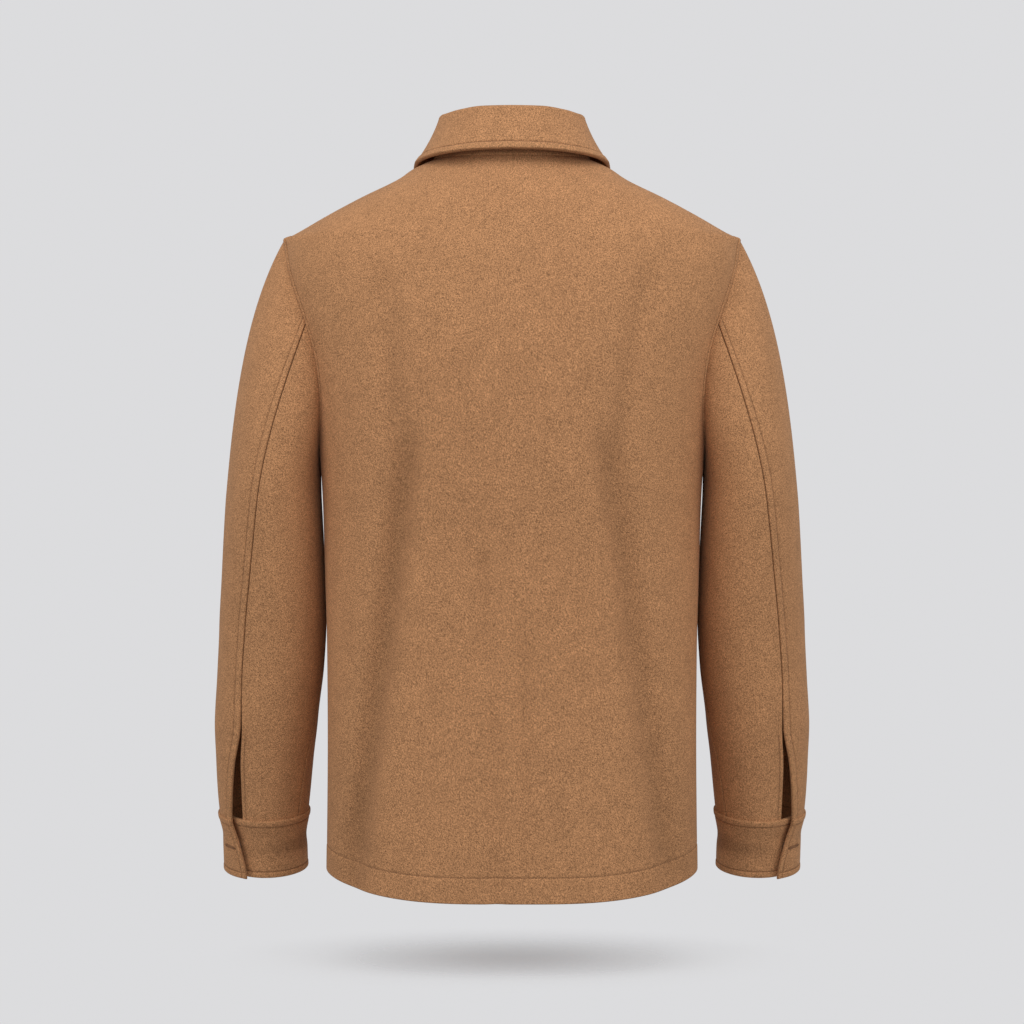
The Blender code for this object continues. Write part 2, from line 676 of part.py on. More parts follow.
def build_sleeve(side, label, collection):
    seam = 0.5 * BACK_SEAM_ROW / CHEST_ROWS
    ring_rows = 2 * CHEST_ROWS
    ways = [0.5 * i / CHEST_ROWS for i in range(ring_rows + 1)]
    clear = SLEEVE_SEAM_SHARE
    under = [min(max(way, clear), seam - clear) for way in ways[:BACK_SEAM_ROW + 1]]
    upper = [min(max(way, seam + clear), 1 - clear) for way in ways[BACK_SEAM_ROW:]]
    downs = [i / CAP_ROWS for i in range(CAP_ROWS)] + [1 + i / ARM_ROWS for i in range(ARM_ROWS + 1)]
    for name, columns, is_upper in (("sleeve_under", under, False), ("sleeve_upper", upper, True)):
        cloth_piece(
            f"{name}_{label}", columns, downs,
            lambda way, down, is_upper=is_upper: sleeve_wall(side, way, down, is_upper),
            WOOL_COLOUR, collection,
        )


def build_cuff(side, label, collection):
    shares = [i / CUFF_COLUMNS for i in range(CUFF_COLUMNS + 1)]
    downs = [0.0, 0.12, 0.40, 0.70, 1.0]
    cloth_piece(
        f"cuff_{label}", shares, downs,
        lambda share, down: cuff_wall(side, share, down),
        WOOL_COLOUR, collection,
    )


def collar_turns(side):
    """Neckline places of the body's own columns, from centre back to the front's edge."""
    back = [neck_turn(1 - i / NECK_COLUMNS, 1) for i in range(NECK_COLUMNS + 1)]
    front = [neck_turn(i / NECK_COLUMNS, -1) for i in range(1, NECK_COLUMNS + 1)]
    return back + front + [front_turn(x) for x in LAP_COLUMNS[side]]


def build_collar(collection):
    right, left = collar_turns(-1), collar_turns(1)
    stand_columns = [(-1, turn) for turn in reversed(right)] + [(1, turn) for turn in left[1:]]
    cloth_piece(
        "collar_stand", stand_columns, [0.0, 0.5, 1.0],
        lambda column, up: stand_wall(column[1], up, column[0]),
        WOOL_COLOUR, collection,
    )
    fall_columns = [-turn for turn in reversed(right[1:]) if turn <= front_turn(LEAF_END)]
    fall_columns += [turn for turn in left if turn <= front_turn(LEAF_END)]
    cloth_piece(
        "collar_fall", fall_columns, [0, 1, 1.75, 2.5, 3.25, 4, 5.4, 6.9, 7.1, 8],
        fall_wall,
        WOOL_COLOUR, collection,
    )


def build_button(name, radius, thickness, place, facing, collection):
    """A turned button: a flat back, a rounded rim and a dished face."""
    mesh = bpy.data.meshes.new(name)
    bm = bmesh.new()
    rim, dish = thickness, thickness * 0.72
    profile = [
        (0.0, dish), (radius * 0.62, dish), (radius * 0.74, rim), (radius * 0.92, rim),
        (radius, rim * 0.6), (radius, rim * 0.25), (radius * 0.9, 0.0), (0.0, 0.0),
    ]
    verts = [bm.verts.new((x, 0, z)) for x, z in profile]
    for first, second in zip(verts, verts[1:]):
        bm.edges.new((first, second))
    bmesh.ops.spin(
        bm, geom=bm.verts[:] + bm.edges[:], cent=(0, 0, 0), axis=(0, 0, 1),
        angle=2 * pi, steps=16, use_merge=True,
    )
    bmesh.ops.remove_doubles(bm, verts=bm.verts[:], dist=0.00002)
    mesh.materials.append(material(name + "_horn", HORN_COLOUR, 0.35))
    turn = facing.to_track_quat("Z", "Y").to_matrix().to_4x4()
    bmesh.ops.transform(bm, matrix=Matrix.Translation(place) @ turn, verts=bm.verts[:])
    bmesh.ops.recalc_face_normals(bm, faces=bm.faces[:])
    bm.to_mesh(mesh)
    bm.free()
    mesh.shade_smooth()
    mesh.set_sharp_from_angle(angle=radians(40))
    made = bpy.data.objects.new(name, mesh)
    collection.objects.link(made)


def build_buttons(collection):
    stand_outer, _ = stand_wall(1.0, 0.5, 1)
    clear = Vector((0, -NECK_GAP, 0))
    build_button(
        "button_1", BUTTON_RADIUS, BUTTON_THICKNESS,
        stand_outer + clear, stand_facing(), collection,
    )
    for number in range(2, 8):
        height = FIRST_BUTTON - BUTTON_PITCH * (number - 2)
        place = torso_point(1, -pi / 2, height)
        normal = torso_normal(1, -pi / 2, height)
        build_button(
            f"button_{number}", BUTTON_RADIUS, BUTTON_THICKNESS,
            place + normal * (2 * SEAM_GAP), normal, collection,
        )
    for side, label in ((1, "left"), (-1, "right")):
        half_swung = CUFF_OVER_END + 0.5 * CUFF_OVER_SWING
        share = (CUFF_BUTTON_ANGLE - CUFF_UNDER_END) / (half_swung - CUFF_UNDER_END)
        outer, inner = cuff_wall(side, share, 0.5)
        facing = (outer - inner).normalized()
        build_button(
            f"cuff_button_{label}", CUFF_BUTTON_RADIUS, CUFF_BUTTON_THICKNESS,
            outer + facing * (1.5 * SEAM_GAP), facing, collection,
        )


def stand_facing():
    low, _ = stand_wall(1.0, 0.3, 1)
    high, _ = stand_wall(1.0, 0.7, 1)
    return (high - low).cross(Vector((1, 0, 0))).normalized() * -1


def main():
    for old in list(bpy.data.objects):
        bpy.data.objects.remove(old, do_unlink=True)
    collection = bpy.data.collections.new("overshirt")
    bpy.context.scene.collection.children.link(collection)
    build_body(collection)
    for side, label in ((1, "left"), (-1, "right")):
        build_sleeve(side, label, collection)
        build_cuff(side, label, collection)
    build_collar(collection)
    build_buttons(collection)


main()
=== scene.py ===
"""Camel wool overshirt, filled out as when worn, seen from behind in a pale studio.

Metres, +Z up. The buttoned front faces -Y and the wearer's left side is +X.
"""
from bisect import bisect_right
from collections import namedtuple
from math import acos, atan2, cos, exp, pi, radians, sin, sqrt

import bmesh
import bpy
from mathutils import Matrix, Vector


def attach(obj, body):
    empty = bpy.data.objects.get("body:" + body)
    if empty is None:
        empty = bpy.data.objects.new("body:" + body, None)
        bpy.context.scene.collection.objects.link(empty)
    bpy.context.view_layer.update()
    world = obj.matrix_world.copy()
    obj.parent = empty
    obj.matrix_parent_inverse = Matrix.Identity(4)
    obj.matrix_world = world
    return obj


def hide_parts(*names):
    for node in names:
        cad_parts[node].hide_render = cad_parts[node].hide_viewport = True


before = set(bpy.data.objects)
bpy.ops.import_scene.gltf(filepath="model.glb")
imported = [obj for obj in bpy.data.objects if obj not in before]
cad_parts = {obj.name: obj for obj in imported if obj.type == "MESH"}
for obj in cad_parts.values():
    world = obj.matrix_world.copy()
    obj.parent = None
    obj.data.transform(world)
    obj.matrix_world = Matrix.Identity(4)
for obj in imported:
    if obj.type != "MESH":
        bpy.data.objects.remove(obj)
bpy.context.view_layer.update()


# ------------------------------------------------------------------------------ back
# The back is one piece of brushed camel wool from side seam to side seam, without a yoke.
# It hangs from the shoulder seams, falls in a few soft hollows, and its curved hem is turned
# up 25 mm and stitched.  The armhole seam allowances lie under a line of topstitching 10 mm in.
CLOTH = 0.0025
HEM_CLOTH = 0.0046
HEM_DEPTH = 0.0255
SEAM_GAP = 0.0003
SHOULDER_TIP = -0.0734
UNDERARM = -0.294
HEM_AT_SIDE = -0.7116
HEM_DROP = 0.0226
HEM_FULLNESS = 1.1
TIP_ROUNDING = 0.032
NECK_HALF_WIDTH = 0.080
NECK_TOP = 0.008
BACK_NECK_DROP = 0.003
FRONT_NECK_DROP = 0.078
PLACKET_LINE = 0.0300
SHOULDER_SHARE = 8 / 14

TORSO_COLUMNS = "height half_width side_y back_y front_y squareness"
TORSO_ROWS = (
    (0.0080, 0.0800, -0.0050, 0.0600, -0.0400, 2.10),
    (-0.0030, 0.1035, -0.0050, 0.0665, -0.0500, 2.12),
    (-0.0120, 0.1160, -0.0050, 0.0720, -0.0560, 2.17),
    (-0.0320, 0.1560, -0.0050, 0.0820, -0.0680, 2.25),
    (-0.0530, 0.1955, -0.0050, 0.0905, -0.0800, 2.33),
    (-0.0700, 0.2265, -0.0050, 0.0955, -0.0875, 2.39),
    (-0.0734, 0.2336, -0.0050, 0.0965, -0.0890, 2.40),
    (-0.1000, 0.2305, -0.0050, 0.1035, -0.0990, 2.48),
    (-0.1300, 0.2255, -0.0050, 0.1090, -0.1100, 2.55),
    (-0.1600, 0.2185, -0.0050, 0.1130, -0.1200, 2.60),
    (-0.1900, 0.2105, -0.0050, 0.1155, -0.1280, 2.60),
    (-0.2200, 0.2048, -0.0050, 0.1165, -0.1330, 2.60),
    (-0.2500, 0.2005, -0.0050, 0.1165, -0.1350, 2.60),
    (-0.2940, 0.1962, -0.0050, 0.1150, -0.1340, 2.60),
    (-0.3400, 0.1932, -0.0045, 0.1125, -0.1310, 2.60),
    (-0.4000, 0.1910, 0.0010, 0.1090, -0.1270, 2.60),
    (-0.5000, 0.1878, 0.0090, 0.1090, -0.1240, 2.60),
    (-0.6000, 0.1869, 0.0150, 0.1130, -0.1245, 2.60),
    (-0.7116, 0.1876, 0.0195, 0.1180, -0.1250, 2.60),
    (-0.7400, 0.1880, 0.0200, 0.1190, -0.1250, 2.60),
)
# The armhole's distance behind the side line, and its height.
ARMHOLE_ROWS = (
    (0.0000, -0.2940),
    (0.0220, -0.2870),
    (0.0440, -0.2620),
    (0.0555, -0.2250),
    (0.0565, -0.1850),
    (0.0505, -0.1520),
    (0.0350, -0.1180),
    (0.0170, -0.0910),
    (0.0000, -0.0734),
)
FRONT_ARMHOLE = 0.97
ARMHOLE_MIDDLE = Vector((0.205, -0.005, -0.185))

# Soft hollows that run down the back.
FOLD_COLUMNS = "top_x bottom_x top bottom inner_width outer_width depth"
BACK_FOLDS = (
    (0.094, 0.153, -0.25, -0.70, 0.0105, 0.0170, 0.0125),
    (-0.086, -0.152, -0.25, -0.70, 0.0120, 0.0180, 0.0095),
    (0.128, 0.106, -0.09, -0.30, 0.0110, 0.0140, 0.0045),
    (-0.134, -0.100, -0.09, -0.30, 0.0110, 0.0140, 0.0045),
    (0.027, 0.026, -0.38, -0.50, 0.0065, 0.0080, 0.0028),
    (0.017, 0.014, -0.52, -0.76, 0.0065, 0.0080, 0.0028),
    (-0.012, -0.013, -0.44, -0.70, 0.0065, 0.0080, 0.0028),
)
DEEPEST_FOLD = 0.0125


def monotone_slopes(keys, values):
    """Slopes that keep a curve through the values from overshooting them."""
    runs = [(values[i + 1] - values[i]) / (keys[i + 1] - keys[i]) for i in range(len(keys) - 1)]
    slopes = [runs[0]]
    for before, after in zip(runs, runs[1:]):
        turning = before * after <= 0
        slopes.append(0.0 if turning else 2 * before * after / (before + after))
    slopes.append(runs[-1])
    return slopes


def smooth_table(names, rows):
    """A function that reads every column of the table at any key of its first column."""
    Row = namedtuple("Row", names)
    rows = sorted(rows)
    keys = [row[0] for row in rows]
    columns = list(zip(*rows))
    slopes = [monotone_slopes(keys, column) for column in columns]

    def read(key):
        key = min(max(key, keys[0]), keys[-1])
        i = min(max(bisect_right(keys, key) - 1, 0), len(keys) - 2)
        step = keys[i + 1] - keys[i]
        t = (key - keys[i]) / step
        start, start_slope = 2 * t**3 - 3 * t**2 + 1, t**3 - 2 * t**2 + t
        end, end_slope = 3 * t**2 - 2 * t**3, t**3 - t**2
        return Row(*[
            start * c[i] + start_slope * step * m[i] + end * c[i + 1] + end_slope * step * m[i + 1]
            for c, m in zip(columns, slopes)
        ])

    return read


torso = smooth_table(TORSO_COLUMNS, TORSO_ROWS)
Fold = namedtuple("Fold", FOLD_COLUMNS)
back_folds = [Fold(*row) for row in BACK_FOLDS]


def mix(a, b, share):
    return a + (b - a) * share


def mirrored(point, side):
    """The point itself on the wearer's left side, and its mirror image on the right."""
    return Vector((side * point.x, point.y, point.z))


def ease(share):
    share = min(max(share, 0.0), 1.0)
    return share * share * (3 - 2 * share)


def back_hollow(x, height):
    """How far the soft vertical folds draw the back in."""
    hollow = 0.0
    for fold in back_folds:
        down = (fold.top - height) / (fold.top - fold.bottom)
        centre = mix(fold.top_x, fold.bottom_x, down)
        along = ease(down * 5) * ease((1.15 - down) * 5)
        inner = (x - centre) * centre < 0
        width = fold.inner_width if inner else fold.outer_width
        hollow += fold.depth * along * exp(-(((x - centre) / width) ** 2))
    return hollow


def torso_point(side, angle, height):
    """Outer surface of the body; angle is 0 at the side seam, +90 at the back, -90 in front."""
    row = torso(height)
    depth = row.back_y - row.side_y if angle > 0 else row.side_y - row.front_y
    c, s, n = cos(angle), sin(angle), row.squareness
    reach = (abs(c) ** n + abs(s) ** n) ** (-1 / n)
    shaved = TIP_ROUNDING * exp(-(((height - SHOULDER_TIP) / 0.018) ** 2)) * ease(abs(angle) / 0.4)
    x = side * row.half_width * reach * c * (1 - shaved)
    y = row.side_y + depth * reach * s
    if angle > 0:
        y -= back_hollow(x, height) * ease(angle / 0.45)
    return Vector((x, y, height))


def angle_from_depth(from_side_line, height, face):
    """Angle of the surface point that lies this far behind or before the side line."""
    row = torso(height)
    depth = row.back_y - row.side_y if face > 0 else row.side_y - row.front_y
    y = min(max(from_side_line / depth, 0.0), 1.0)
    x = (1 - y**row.squareness) ** (1 / row.squareness)
    return face * atan2(y, x)


def angle_from_width(x, height, face):
    """Angle of the surface point at this distance from the centre line."""
    row = torso(height)
    share = min(max(x / row.half_width, -1.0), 1.0)
    y = (1 - abs(share) ** row.squareness) ** (1 / row.squareness)
    return face * atan2(y, share)


def armhole_place(share, face):
    """Angle and height along the armhole, 0 at the underarm and 1 at the shoulder tip."""
    rows = [Vector(row) for row in ARMHOLE_ROWS]
    rows = [Vector((-rows[1].x, rows[1].y))] + rows + [Vector((-rows[-2].x, rows[-2].y))]
    along = min(max(share, 0.0), 1.0) * (len(ARMHOLE_ROWS) - 1)
    i = min(int(along), len(ARMHOLE_ROWS) - 2)
    t = along - i
    a, b, c, d = rows[i:i + 4]
    square, cube = 2 * a - 5 * b + 4 * c - d, 3 * b - a - 3 * c + d
    depth, height = 0.5 * (2 * b + (c - a) * t + square * t**2 + cube * t**3)
    depth *= 1.0 if face > 0 else FRONT_ARMHOLE
    return angle_from_depth(depth, height, face), height


def armhole_point(way):
    """The whole armhole: 0 at the underarm, up the back, 0.5 at the tip, down the front to 1."""
    face = 1 if way <= 0.5 else -1
    share = 2 * way if face > 0 else 2 - 2 * way
    return torso_point(1, *armhole_place(share, face))


def armhole_frame(way):
    """The armhole point, the way into the armhole's middle, and the way out along the arm."""
    before = armhole_point((way - 0.004) % 1.0)
    after = armhole_point((way + 0.004) % 1.0)
    along = (after - before).normalized()
    point = armhole_point(way)
    inward = ARMHOLE_MIDDLE - point
    inward = (inward - along * inward.dot(along)).normalized()
    return point, inward, along.cross(inward)


def neckline(turn):
    """Angle and height of the neck seam: 0 centre back, 0.5 shoulder, 1 centre front and on."""
    if turn < 0.5:
        round_neck = (1 - 2 * turn) * pi / 2
        face, drop = 1, BACK_NECK_DROP
    else:
        round_neck = (2 * turn - 1) * pi / 2
        face, drop = -1, FRONT_NECK_DROP
    height = NECK_TOP - drop * sin(round_neck)
    return angle_from_width(NECK_HALF_WIDTH * cos(round_neck), height, face), height


def front_turn(x):
    """Where on the front neckline a point lies at this distance from the centre line."""
    return 0.5 + acos(x / NECK_HALF_WIDTH) / pi


def neck_turn(share, face):
    """Neckline place from the shoulder seam (0) to centre back or to the placket line (1)."""
    return 0.5 - 0.5 * share if face > 0 else mix(0.5, front_turn(PLACKET_LINE), share)


def top_edge(u, face):
    """The panel's top edge, 0 at the shoulder tip and 1 at the centre of the neckline."""
    if u <= SHOULDER_SHARE:
        return 0.0, mix(SHOULDER_TIP, NECK_TOP, u / SHOULDER_SHARE)
    return neckline(neck_turn((u - SHOULDER_SHARE) / (1 - SHOULDER_SHARE), face))


def centre_angle(height, face):
    return pi / 2 if face > 0 else angle_from_width(PLACKET_LINE, height, face)


def chest_place(u, v, face):
    """Angle and height above the underarm; u runs to the centre, v up to shoulder and neck."""
    low_angle = u * centre_angle(UNDERARM, face)
    top_angle, top = top_edge(u, face)
    bend = 2.0 - 0.8 * ease((u - 0.5) / 0.5)
    rise = 1 - (1 - v) ** bend
    angle, height = mix(low_angle, top_angle, v), mix(UNDERARM, top, rise)
    hole_angle, hole = armhole_place(v, face)
    straight = mix(UNDERARM, SHOULDER_TIP, 1 - (1 - v) ** 2)
    angle += (1 - u) * hole_angle
    height += (1 - u) * (hole - straight)
    if face < 0:
        _, neck = top_edge(1.0, face)
        middle = mix(UNDERARM, neck, 1 - (1 - v) ** 1.2)
        flat = mix(centre_angle(UNDERARM, face), centre_angle(neck, face), v)
        angle += u * (centre_angle(middle, face) - flat)
    return angle, height


def hem_height(u, face):
    round_hem = sin(u * abs(centre_angle(UNDERARM, face))) ** 2
    return HEM_AT_SIDE - HEM_DROP * (round_hem + HEM_FULLNESS * round_hem**2 * (1 - round_hem))


# Rows of cloth are named ("hem", metres above the edge), ("waist", share) or ("chest", share),
# and the columns beside a seam keep set distances from it.
HEM_ROWS = (
    0.0, 0.0005, 0.0011, 0.0020, 0.0034, 0.0060, 0.0105, 0.0150, 0.0195, 0.0225,
    0.0238, 0.0246, 0.0255, 0.0264, 0.0272, 0.0290, 0.0325,
)
SEAM_STEPS = (
    0.0, 0.0006, 0.0014, 0.0024, 0.0037, 0.0052, 0.0070, 0.0083, 0.0091, 0.0100,
    0.0109, 0.0119, 0.0138, 0.0170, 0.0210,
)
STITCH_LINE = 0.0100
TOP_ROWS = (0.0060, 0.0035, 0.0020, 0.0011, 0.0005, 0.0)
CHEST_RISE = 0.24
WAIST_ROWS = 80
CHEST_ROWS = 56


def body_place(u, row, face):
    kind, value = row
    if kind == "chest":
        return chest_place(u, value, face)
    hem = hem_height(u, face)
    height = hem + value if kind == "hem" else mix(hem + HEM_ROWS[-1], UNDERARM, value)
    return u * centre_angle(height, face), height


def body_point(side, u, row, face):
    return torso_point(side, *body_place(u, row, face))


def reach_along(point_at, parts=28):
    """Distances run along a line of cloth at even shares of it."""
    points = [point_at(i / parts) for i in range(parts + 1)]
    reach = [0.0]
    for before, after in zip(points, points[1:]):
        reach.append(reach[-1] + (after - before).length)
    return reach


def share_of(reach, distance):
    """The share of the line that lies this far along it."""
    parts = len(reach) - 1
    i = min(max(bisect_right(reach, distance) - 1, 0), parts - 1)
    return min((i + (distance - reach[i]) / (reach[i + 1] - reach[i])) / parts, 1.0)


row_reaches = {}


def share_at(distance, row, face):
    """The share of a row of cloth that lies this far from its armhole or side seam."""
    if (row, face) not in row_reaches:
        row_reaches[row, face] = reach_along(lambda share: body_point(1, share, row, face))
    return share_of(row_reaches[row, face], distance)


def wide_share(column, count, row, face):
    """Columns 0, 1, 2... keep set distances from the seam, and the rest spread to the centre."""
    last = len(SEAM_STEPS) - 1
    if column <= last:
        return share_at(SEAM_STEPS[column], row, face)
    start = share_at(SEAM_STEPS[last], row, face)
    return mix(start, 1.0, (column - last) / (count - last))


panel_rows = [("hem", value) for value in HEM_ROWS]
panel_rows += [("waist", i / WAIST_ROWS) for i in range(1, WAIST_ROWS)]
chest_start = len(panel_rows)
panel_rows += [("chest", i / CHEST_ROWS) for i in range(CHEST_ROWS)]
panel_rows += [("chest", 1 - value / CHEST_RISE) for value in TOP_ROWS]


GROOVE_DEPTH = 0.0005
GROOVE_WIDTH = 0.0007
FULL_SHADE = 0.0004
TURNED_EDGE = 0.0009


def bump_at(distance, place, half_width):
    return exp(-(((distance - place) / half_width) ** 2))


def rolled(distance, radius):
    """How far an edge's face turns in, this near to it."""
    near = 1 - min(max(distance / radius, 0.0), 1.0)
    return radius * (1 - sqrt(max(1 - near * near, 0.0)))


def seam_ridge(distance, width, height=0.0010, depth=0.0008):
    """Raised seam allowance from a seam to its topstitching, which sinks into the cloth."""
    ridge = height * ease(distance / 0.0016) * ease((width + 0.0004 - distance) / 0.0012)
    return ridge - depth * bump_at(distance, width, 0.0009)


def object_of(name, bm):
    """The finished bmesh as an object in the scene."""
    mesh = bpy.data.meshes.new(name)
    bm.to_mesh(mesh)
    bm.free()
    mesh.shade_smooth()
    made = bpy.data.objects.new(name, mesh)
    bpy.context.scene.collection.objects.link(made)
    return made


def lay_cloth(name, columns, rows, place, relief, wall, lean=None, edge_roll=TURNED_EDGE,
              painted_shade_at=None):
    """A cut piece laid on the garment: a grid of points, its wall, and its turned-in edges.

    place gives a point of the outer face, relief its rise, wall the cloth's thickness there,
    and lean, near a seam, the way through the cloth.  The last argument gives painted shade at
    a point, darkening the colour in folds.  The outer grid comes back as well.
    """
    wide, high = len(columns), len(rows)
    bm = bmesh.new()
    bmesh.ops.create_grid(bm, x_segments=wide - 1, y_segments=high - 1, size=1.0)
    bm.verts.ensure_lookup_table()
    for j, row in enumerate(rows):
        for i, column in enumerate(columns):
            bm.verts[j * wide + i].co = place(column, row)
    bm.normal_update()
    points = [vert.co.copy() for vert in bm.verts]
    normals = [vert.normal.copy() for vert in bm.verts]
    middle = sum(points, Vector()) / len(points)
    if sum(normal.dot(point - middle) for normal, point in zip(normals, points)) < 0:
        normals = [-normal for normal in normals]

    across = [[0.0] * wide for _ in rows]
    along = [[0.0] * wide for _ in rows]
    for j in range(high):
        for i in range(1, wide):
            step = (points[j * wide + i] - points[j * wide + i - 1]).length
            across[j][i] = across[j][i - 1] + step
    for j in range(1, high):
        for i in range(wide):
            step = (points[j * wide + i] - points[(j - 1) * wide + i]).length
            along[j][i] = along[j - 1][i] + step

    outer, inner, painted_shade = [], [], []
    for j, row in enumerate(rows):
        for i, column in enumerate(columns):
            k = j * wide + i
            to_edge = min(
                across[j][i], across[j][-1] - across[j][i],
                along[j][i], along[-1][i] - along[j][i],
            )
            roll = rolled(to_edge, min(edge_roll, 0.45 * wall(column, row)))
            rise = relief(column, row)
            through = -normals[k]
            leaning = lean(column, row) if lean else None
            if leaning:
                through = through.lerp(leaning[0], leaning[1]).normalized()
            outer.append(points[k] + normals[k] * rise + through * roll)
            inner.append(points[k] + through * (wall(column, row) - roll))
            # Painted shade, carried to the wool's colour by the groove attribute: the colour is
            # darkened in stitched grooves, along turned edges, and in the folds and low sides that
            # the last argument gives.
            flat = painted_shade_at(points[k]) if painted_shade_at else 0.0
            stitched, turned = max(0.0, -rise / FULL_SHADE), max(0.0, 1 - to_edge / TURNED_EDGE)
            painted_shade.append(min(1.0, stitched + turned + flat))

    groove = bm.verts.layers.float.new("groove")
    for k, vert in enumerate(bm.verts):
        vert[groove] = painted_shade[k]
    number = bm.verts.layers.int.new("number")
    for k, vert in enumerate(bm.verts):
        vert[number] = k
    grown = bmesh.ops.extrude_face_region(bm, geom=bm.faces[:])
    copies = {item for item in grown["geom"] if isinstance(item, bmesh.types.BMVert)}
    for vert in bm.verts:
        vert.co = inner[vert[number]] if vert in copies else outer[vert[number]]
    bm.verts.layers.int.remove(bm.verts.layers.int["number"])
    bmesh.ops.recalc_face_normals(bm, faces=bm.faces[:])
    if bm.calc_volume(signed=True) < 0:
        bmesh.ops.reverse_faces(bm, faces=bm.faces[:])
    piece = object_of(name, bm)
    piece.data.set_sharp_from_angle(angle=radians(60))
    piece.data.materials.append(wool)
    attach(piece, "root")
    laid = list(zip(outer, normals))
    return piece, [laid[j * wide:(j + 1) * wide] for j in range(high)]


def material_of(name, finish):
    """A material with its node tree and its shader, whose sockets hold the finish."""
    made = bpy.data.materials.new(name)
    made.use_nodes = True
    shader = made.node_tree.nodes["Principled BSDF"]
    for socket, value in finish.items():
        shader.inputs[socket].default_value = value
    return made, made.node_tree, shader


SOCKET_PLACES = {"first": 0, "second": 1, "third": 2}


def node(tree, kind, **settings):
    """A shader node; a setting is one of its options, a socket's value, or what feeds a socket."""
    made = tree.nodes.new("ShaderNode" + kind)
    for key, value in settings.items():
        socket = SOCKET_PLACES.get(key, key.replace("_", " ").title())
        if isinstance(value, bpy.types.NodeSocket):
            tree.links.new(value, made.inputs[socket])
        elif key in SOCKET_PLACES or socket in made.inputs:
            made.inputs[socket].default_value = value
        else:
            setattr(made, key, value)
    return made


def ranged(tree, value, **settings):
    """The value brought from one range to another."""
    return node(tree, "MapRange", value=value, **settings).outputs["Result"]


def noise(tree, place, **settings):
    return node(tree, "TexNoise", vector=place, **settings).outputs["Fac"]


def brushed_wool(name, colour):
    """Felted camel wool: short brushed fibres over a hidden twill, with darker flecks."""
    wool, tree, shader = material_of(name, {
        "Roughness": 0.92, "Specular IOR Level": 0.15, "Sheen Weight": 0.16,
        "Sheen Roughness": 0.45, "Sheen Tint": (1.0, 0.74, 0.52, 1.0),
    })
    place = node(tree, "TexCoord").outputs["Object"]
    upright = node(tree, "Mapping", rotation=(-pi / 2, 0.0, 0.0), vector=place).outputs["Vector"]

    # The nap changes its lie slowly over the cloth, so the fibres swing about the diagonal.
    swing = node(tree, "TexNoise", scale=38.0, detail=1.0, vector=upright).outputs["Color"]
    swung = node(
        tree, "VectorMath", operation="MULTIPLY_ADD", first=swing, second=(0.0035, 0.0035, 0.0035),
        third=upright,
    ).outputs["Vector"]
    fibres = []
    for turn, stretch, size in ((0.90, 0.38, 1600.0), (-0.70, 0.60, 1750.0)):
        lie = node(
            tree, "Mapping", vector_type="TEXTURE", rotation=(0.0, 0.0, turn),
            scale=(1.0 / stretch, 1.0, 1.0), vector=swung,
        ).outputs["Vector"]
        fibres.append(noise(tree, lie, scale=size, detail=0.0))
    fibre = node(
        tree, "Mix", data_type="FLOAT", factor=0.33, a=fibres[0], b=fibres[1],
    ).outputs["Result"]

    # The level of the cloth is made of its fibres, tufts of nap a few millimetres across, the faint
    # cloudiness of felt, and painted shade in grooves, on turned edges, in folds and low at the
    # sides.
    tuft = noise(tree, upright, scale=210.0, detail=1.0)
    cloud = noise(tree, place, scale=48.0, detail=2.0)
    groove = node(tree, "Attribute", attribute_name="groove").outputs["Fac"]
    level = ranged(tree, fibre, from_min=0.30, from_max=0.70, to_min=0.48, to_max=1.52)
    for shade in (
        ranged(tree, tuft, from_min=0.3, from_max=0.7, to_min=0.94, to_max=1.06),
        ranged(tree, cloud, from_min=0.3, from_max=0.7, to_min=0.95, to_max=1.05),
        ranged(tree, groove, to_min=1.0, to_max=0.72),
    ):
        level = node(tree, "Math", operation="MULTIPLY", first=level, second=shade).outputs["Value"]
    lit = node(tree, "VectorMath", operation="SCALE", first=colour, scale=level).outputs["Vector"]

    # Sparse darker flecks of undyed hair.
    fleck = noise(tree, swung, scale=520.0, detail=1.0, roughness=0.4)
    sparse = ranged(tree, fleck, from_min=0.66, from_max=0.76, to_max=0.22)
    undyed = (colour[0] * 0.35, colour[1] * 0.30, colour[2] * 0.28, 1.0)
    flecked = node(
        tree, "Mix", data_type="RGBA", blend_type="MIX", factor=sparse, a=lit, b=undyed,
    ).outputs["Result"]
    tree.links.new(flecked, shader.inputs["Base Color"])

    relief = node(tree, "Bump", strength=0.25, distance=0.0006, height=fibre)
    tree.links.new(relief.outputs["Normal"], shader.inputs["Normal"])
    return wool


WOOL_COLOUR = (0.516, 0.256, 0.118)
wool = brushed_wool("camel_wool", WOOL_COLOUR)


def hem_relief(value):
    """The turned-up hem is a little thicker below its line of stitching."""
    rise = 0.0003 * ease((HEM_DEPTH - value) / 0.003)
    return rise - GROOVE_DEPTH * bump_at(value, HEM_DEPTH, 0.0008)


def back_relief(column, row):
    _, number = column
    kind, value = row
    if kind == "hem":
        return hem_relief(value)
    if kind == "chest" and number < len(SEAM_STEPS):
        return seam_ridge(SEAM_STEPS[number], STITCH_LINE) * ease(value / 0.05)
    return 0.0


def back_place(column, row):
    side, number = column
    return body_point(side, wide_share(number, BACK_COLUMNS, row, 1), row, 1)


def body_cloth(column, row):
    kind, value = row
    if kind != "hem":
        return CLOTH
    return mix(HEM_CLOTH, CLOTH, ease((value - HEM_DEPTH - 0.0007) / 0.002))


LEAN_WIDTH = 0.004


def armhole_lean(column, row, face):
    """Near the armhole the wall turns toward the middle of the armhole, as the sleeve's does."""
    side, number = column
    kind, value = row
    if kind != "chest" or number >= len(SEAM_STEPS) or SEAM_STEPS[number] > LEAN_WIDTH:
        return None
    way = 0.5 * value if face > 0 else 1 - 0.5 * value
    _, inward, _ = armhole_frame(way)
    return mirrored(inward, side), 1 - SEAM_STEPS[number] / LEAN_WIDTH


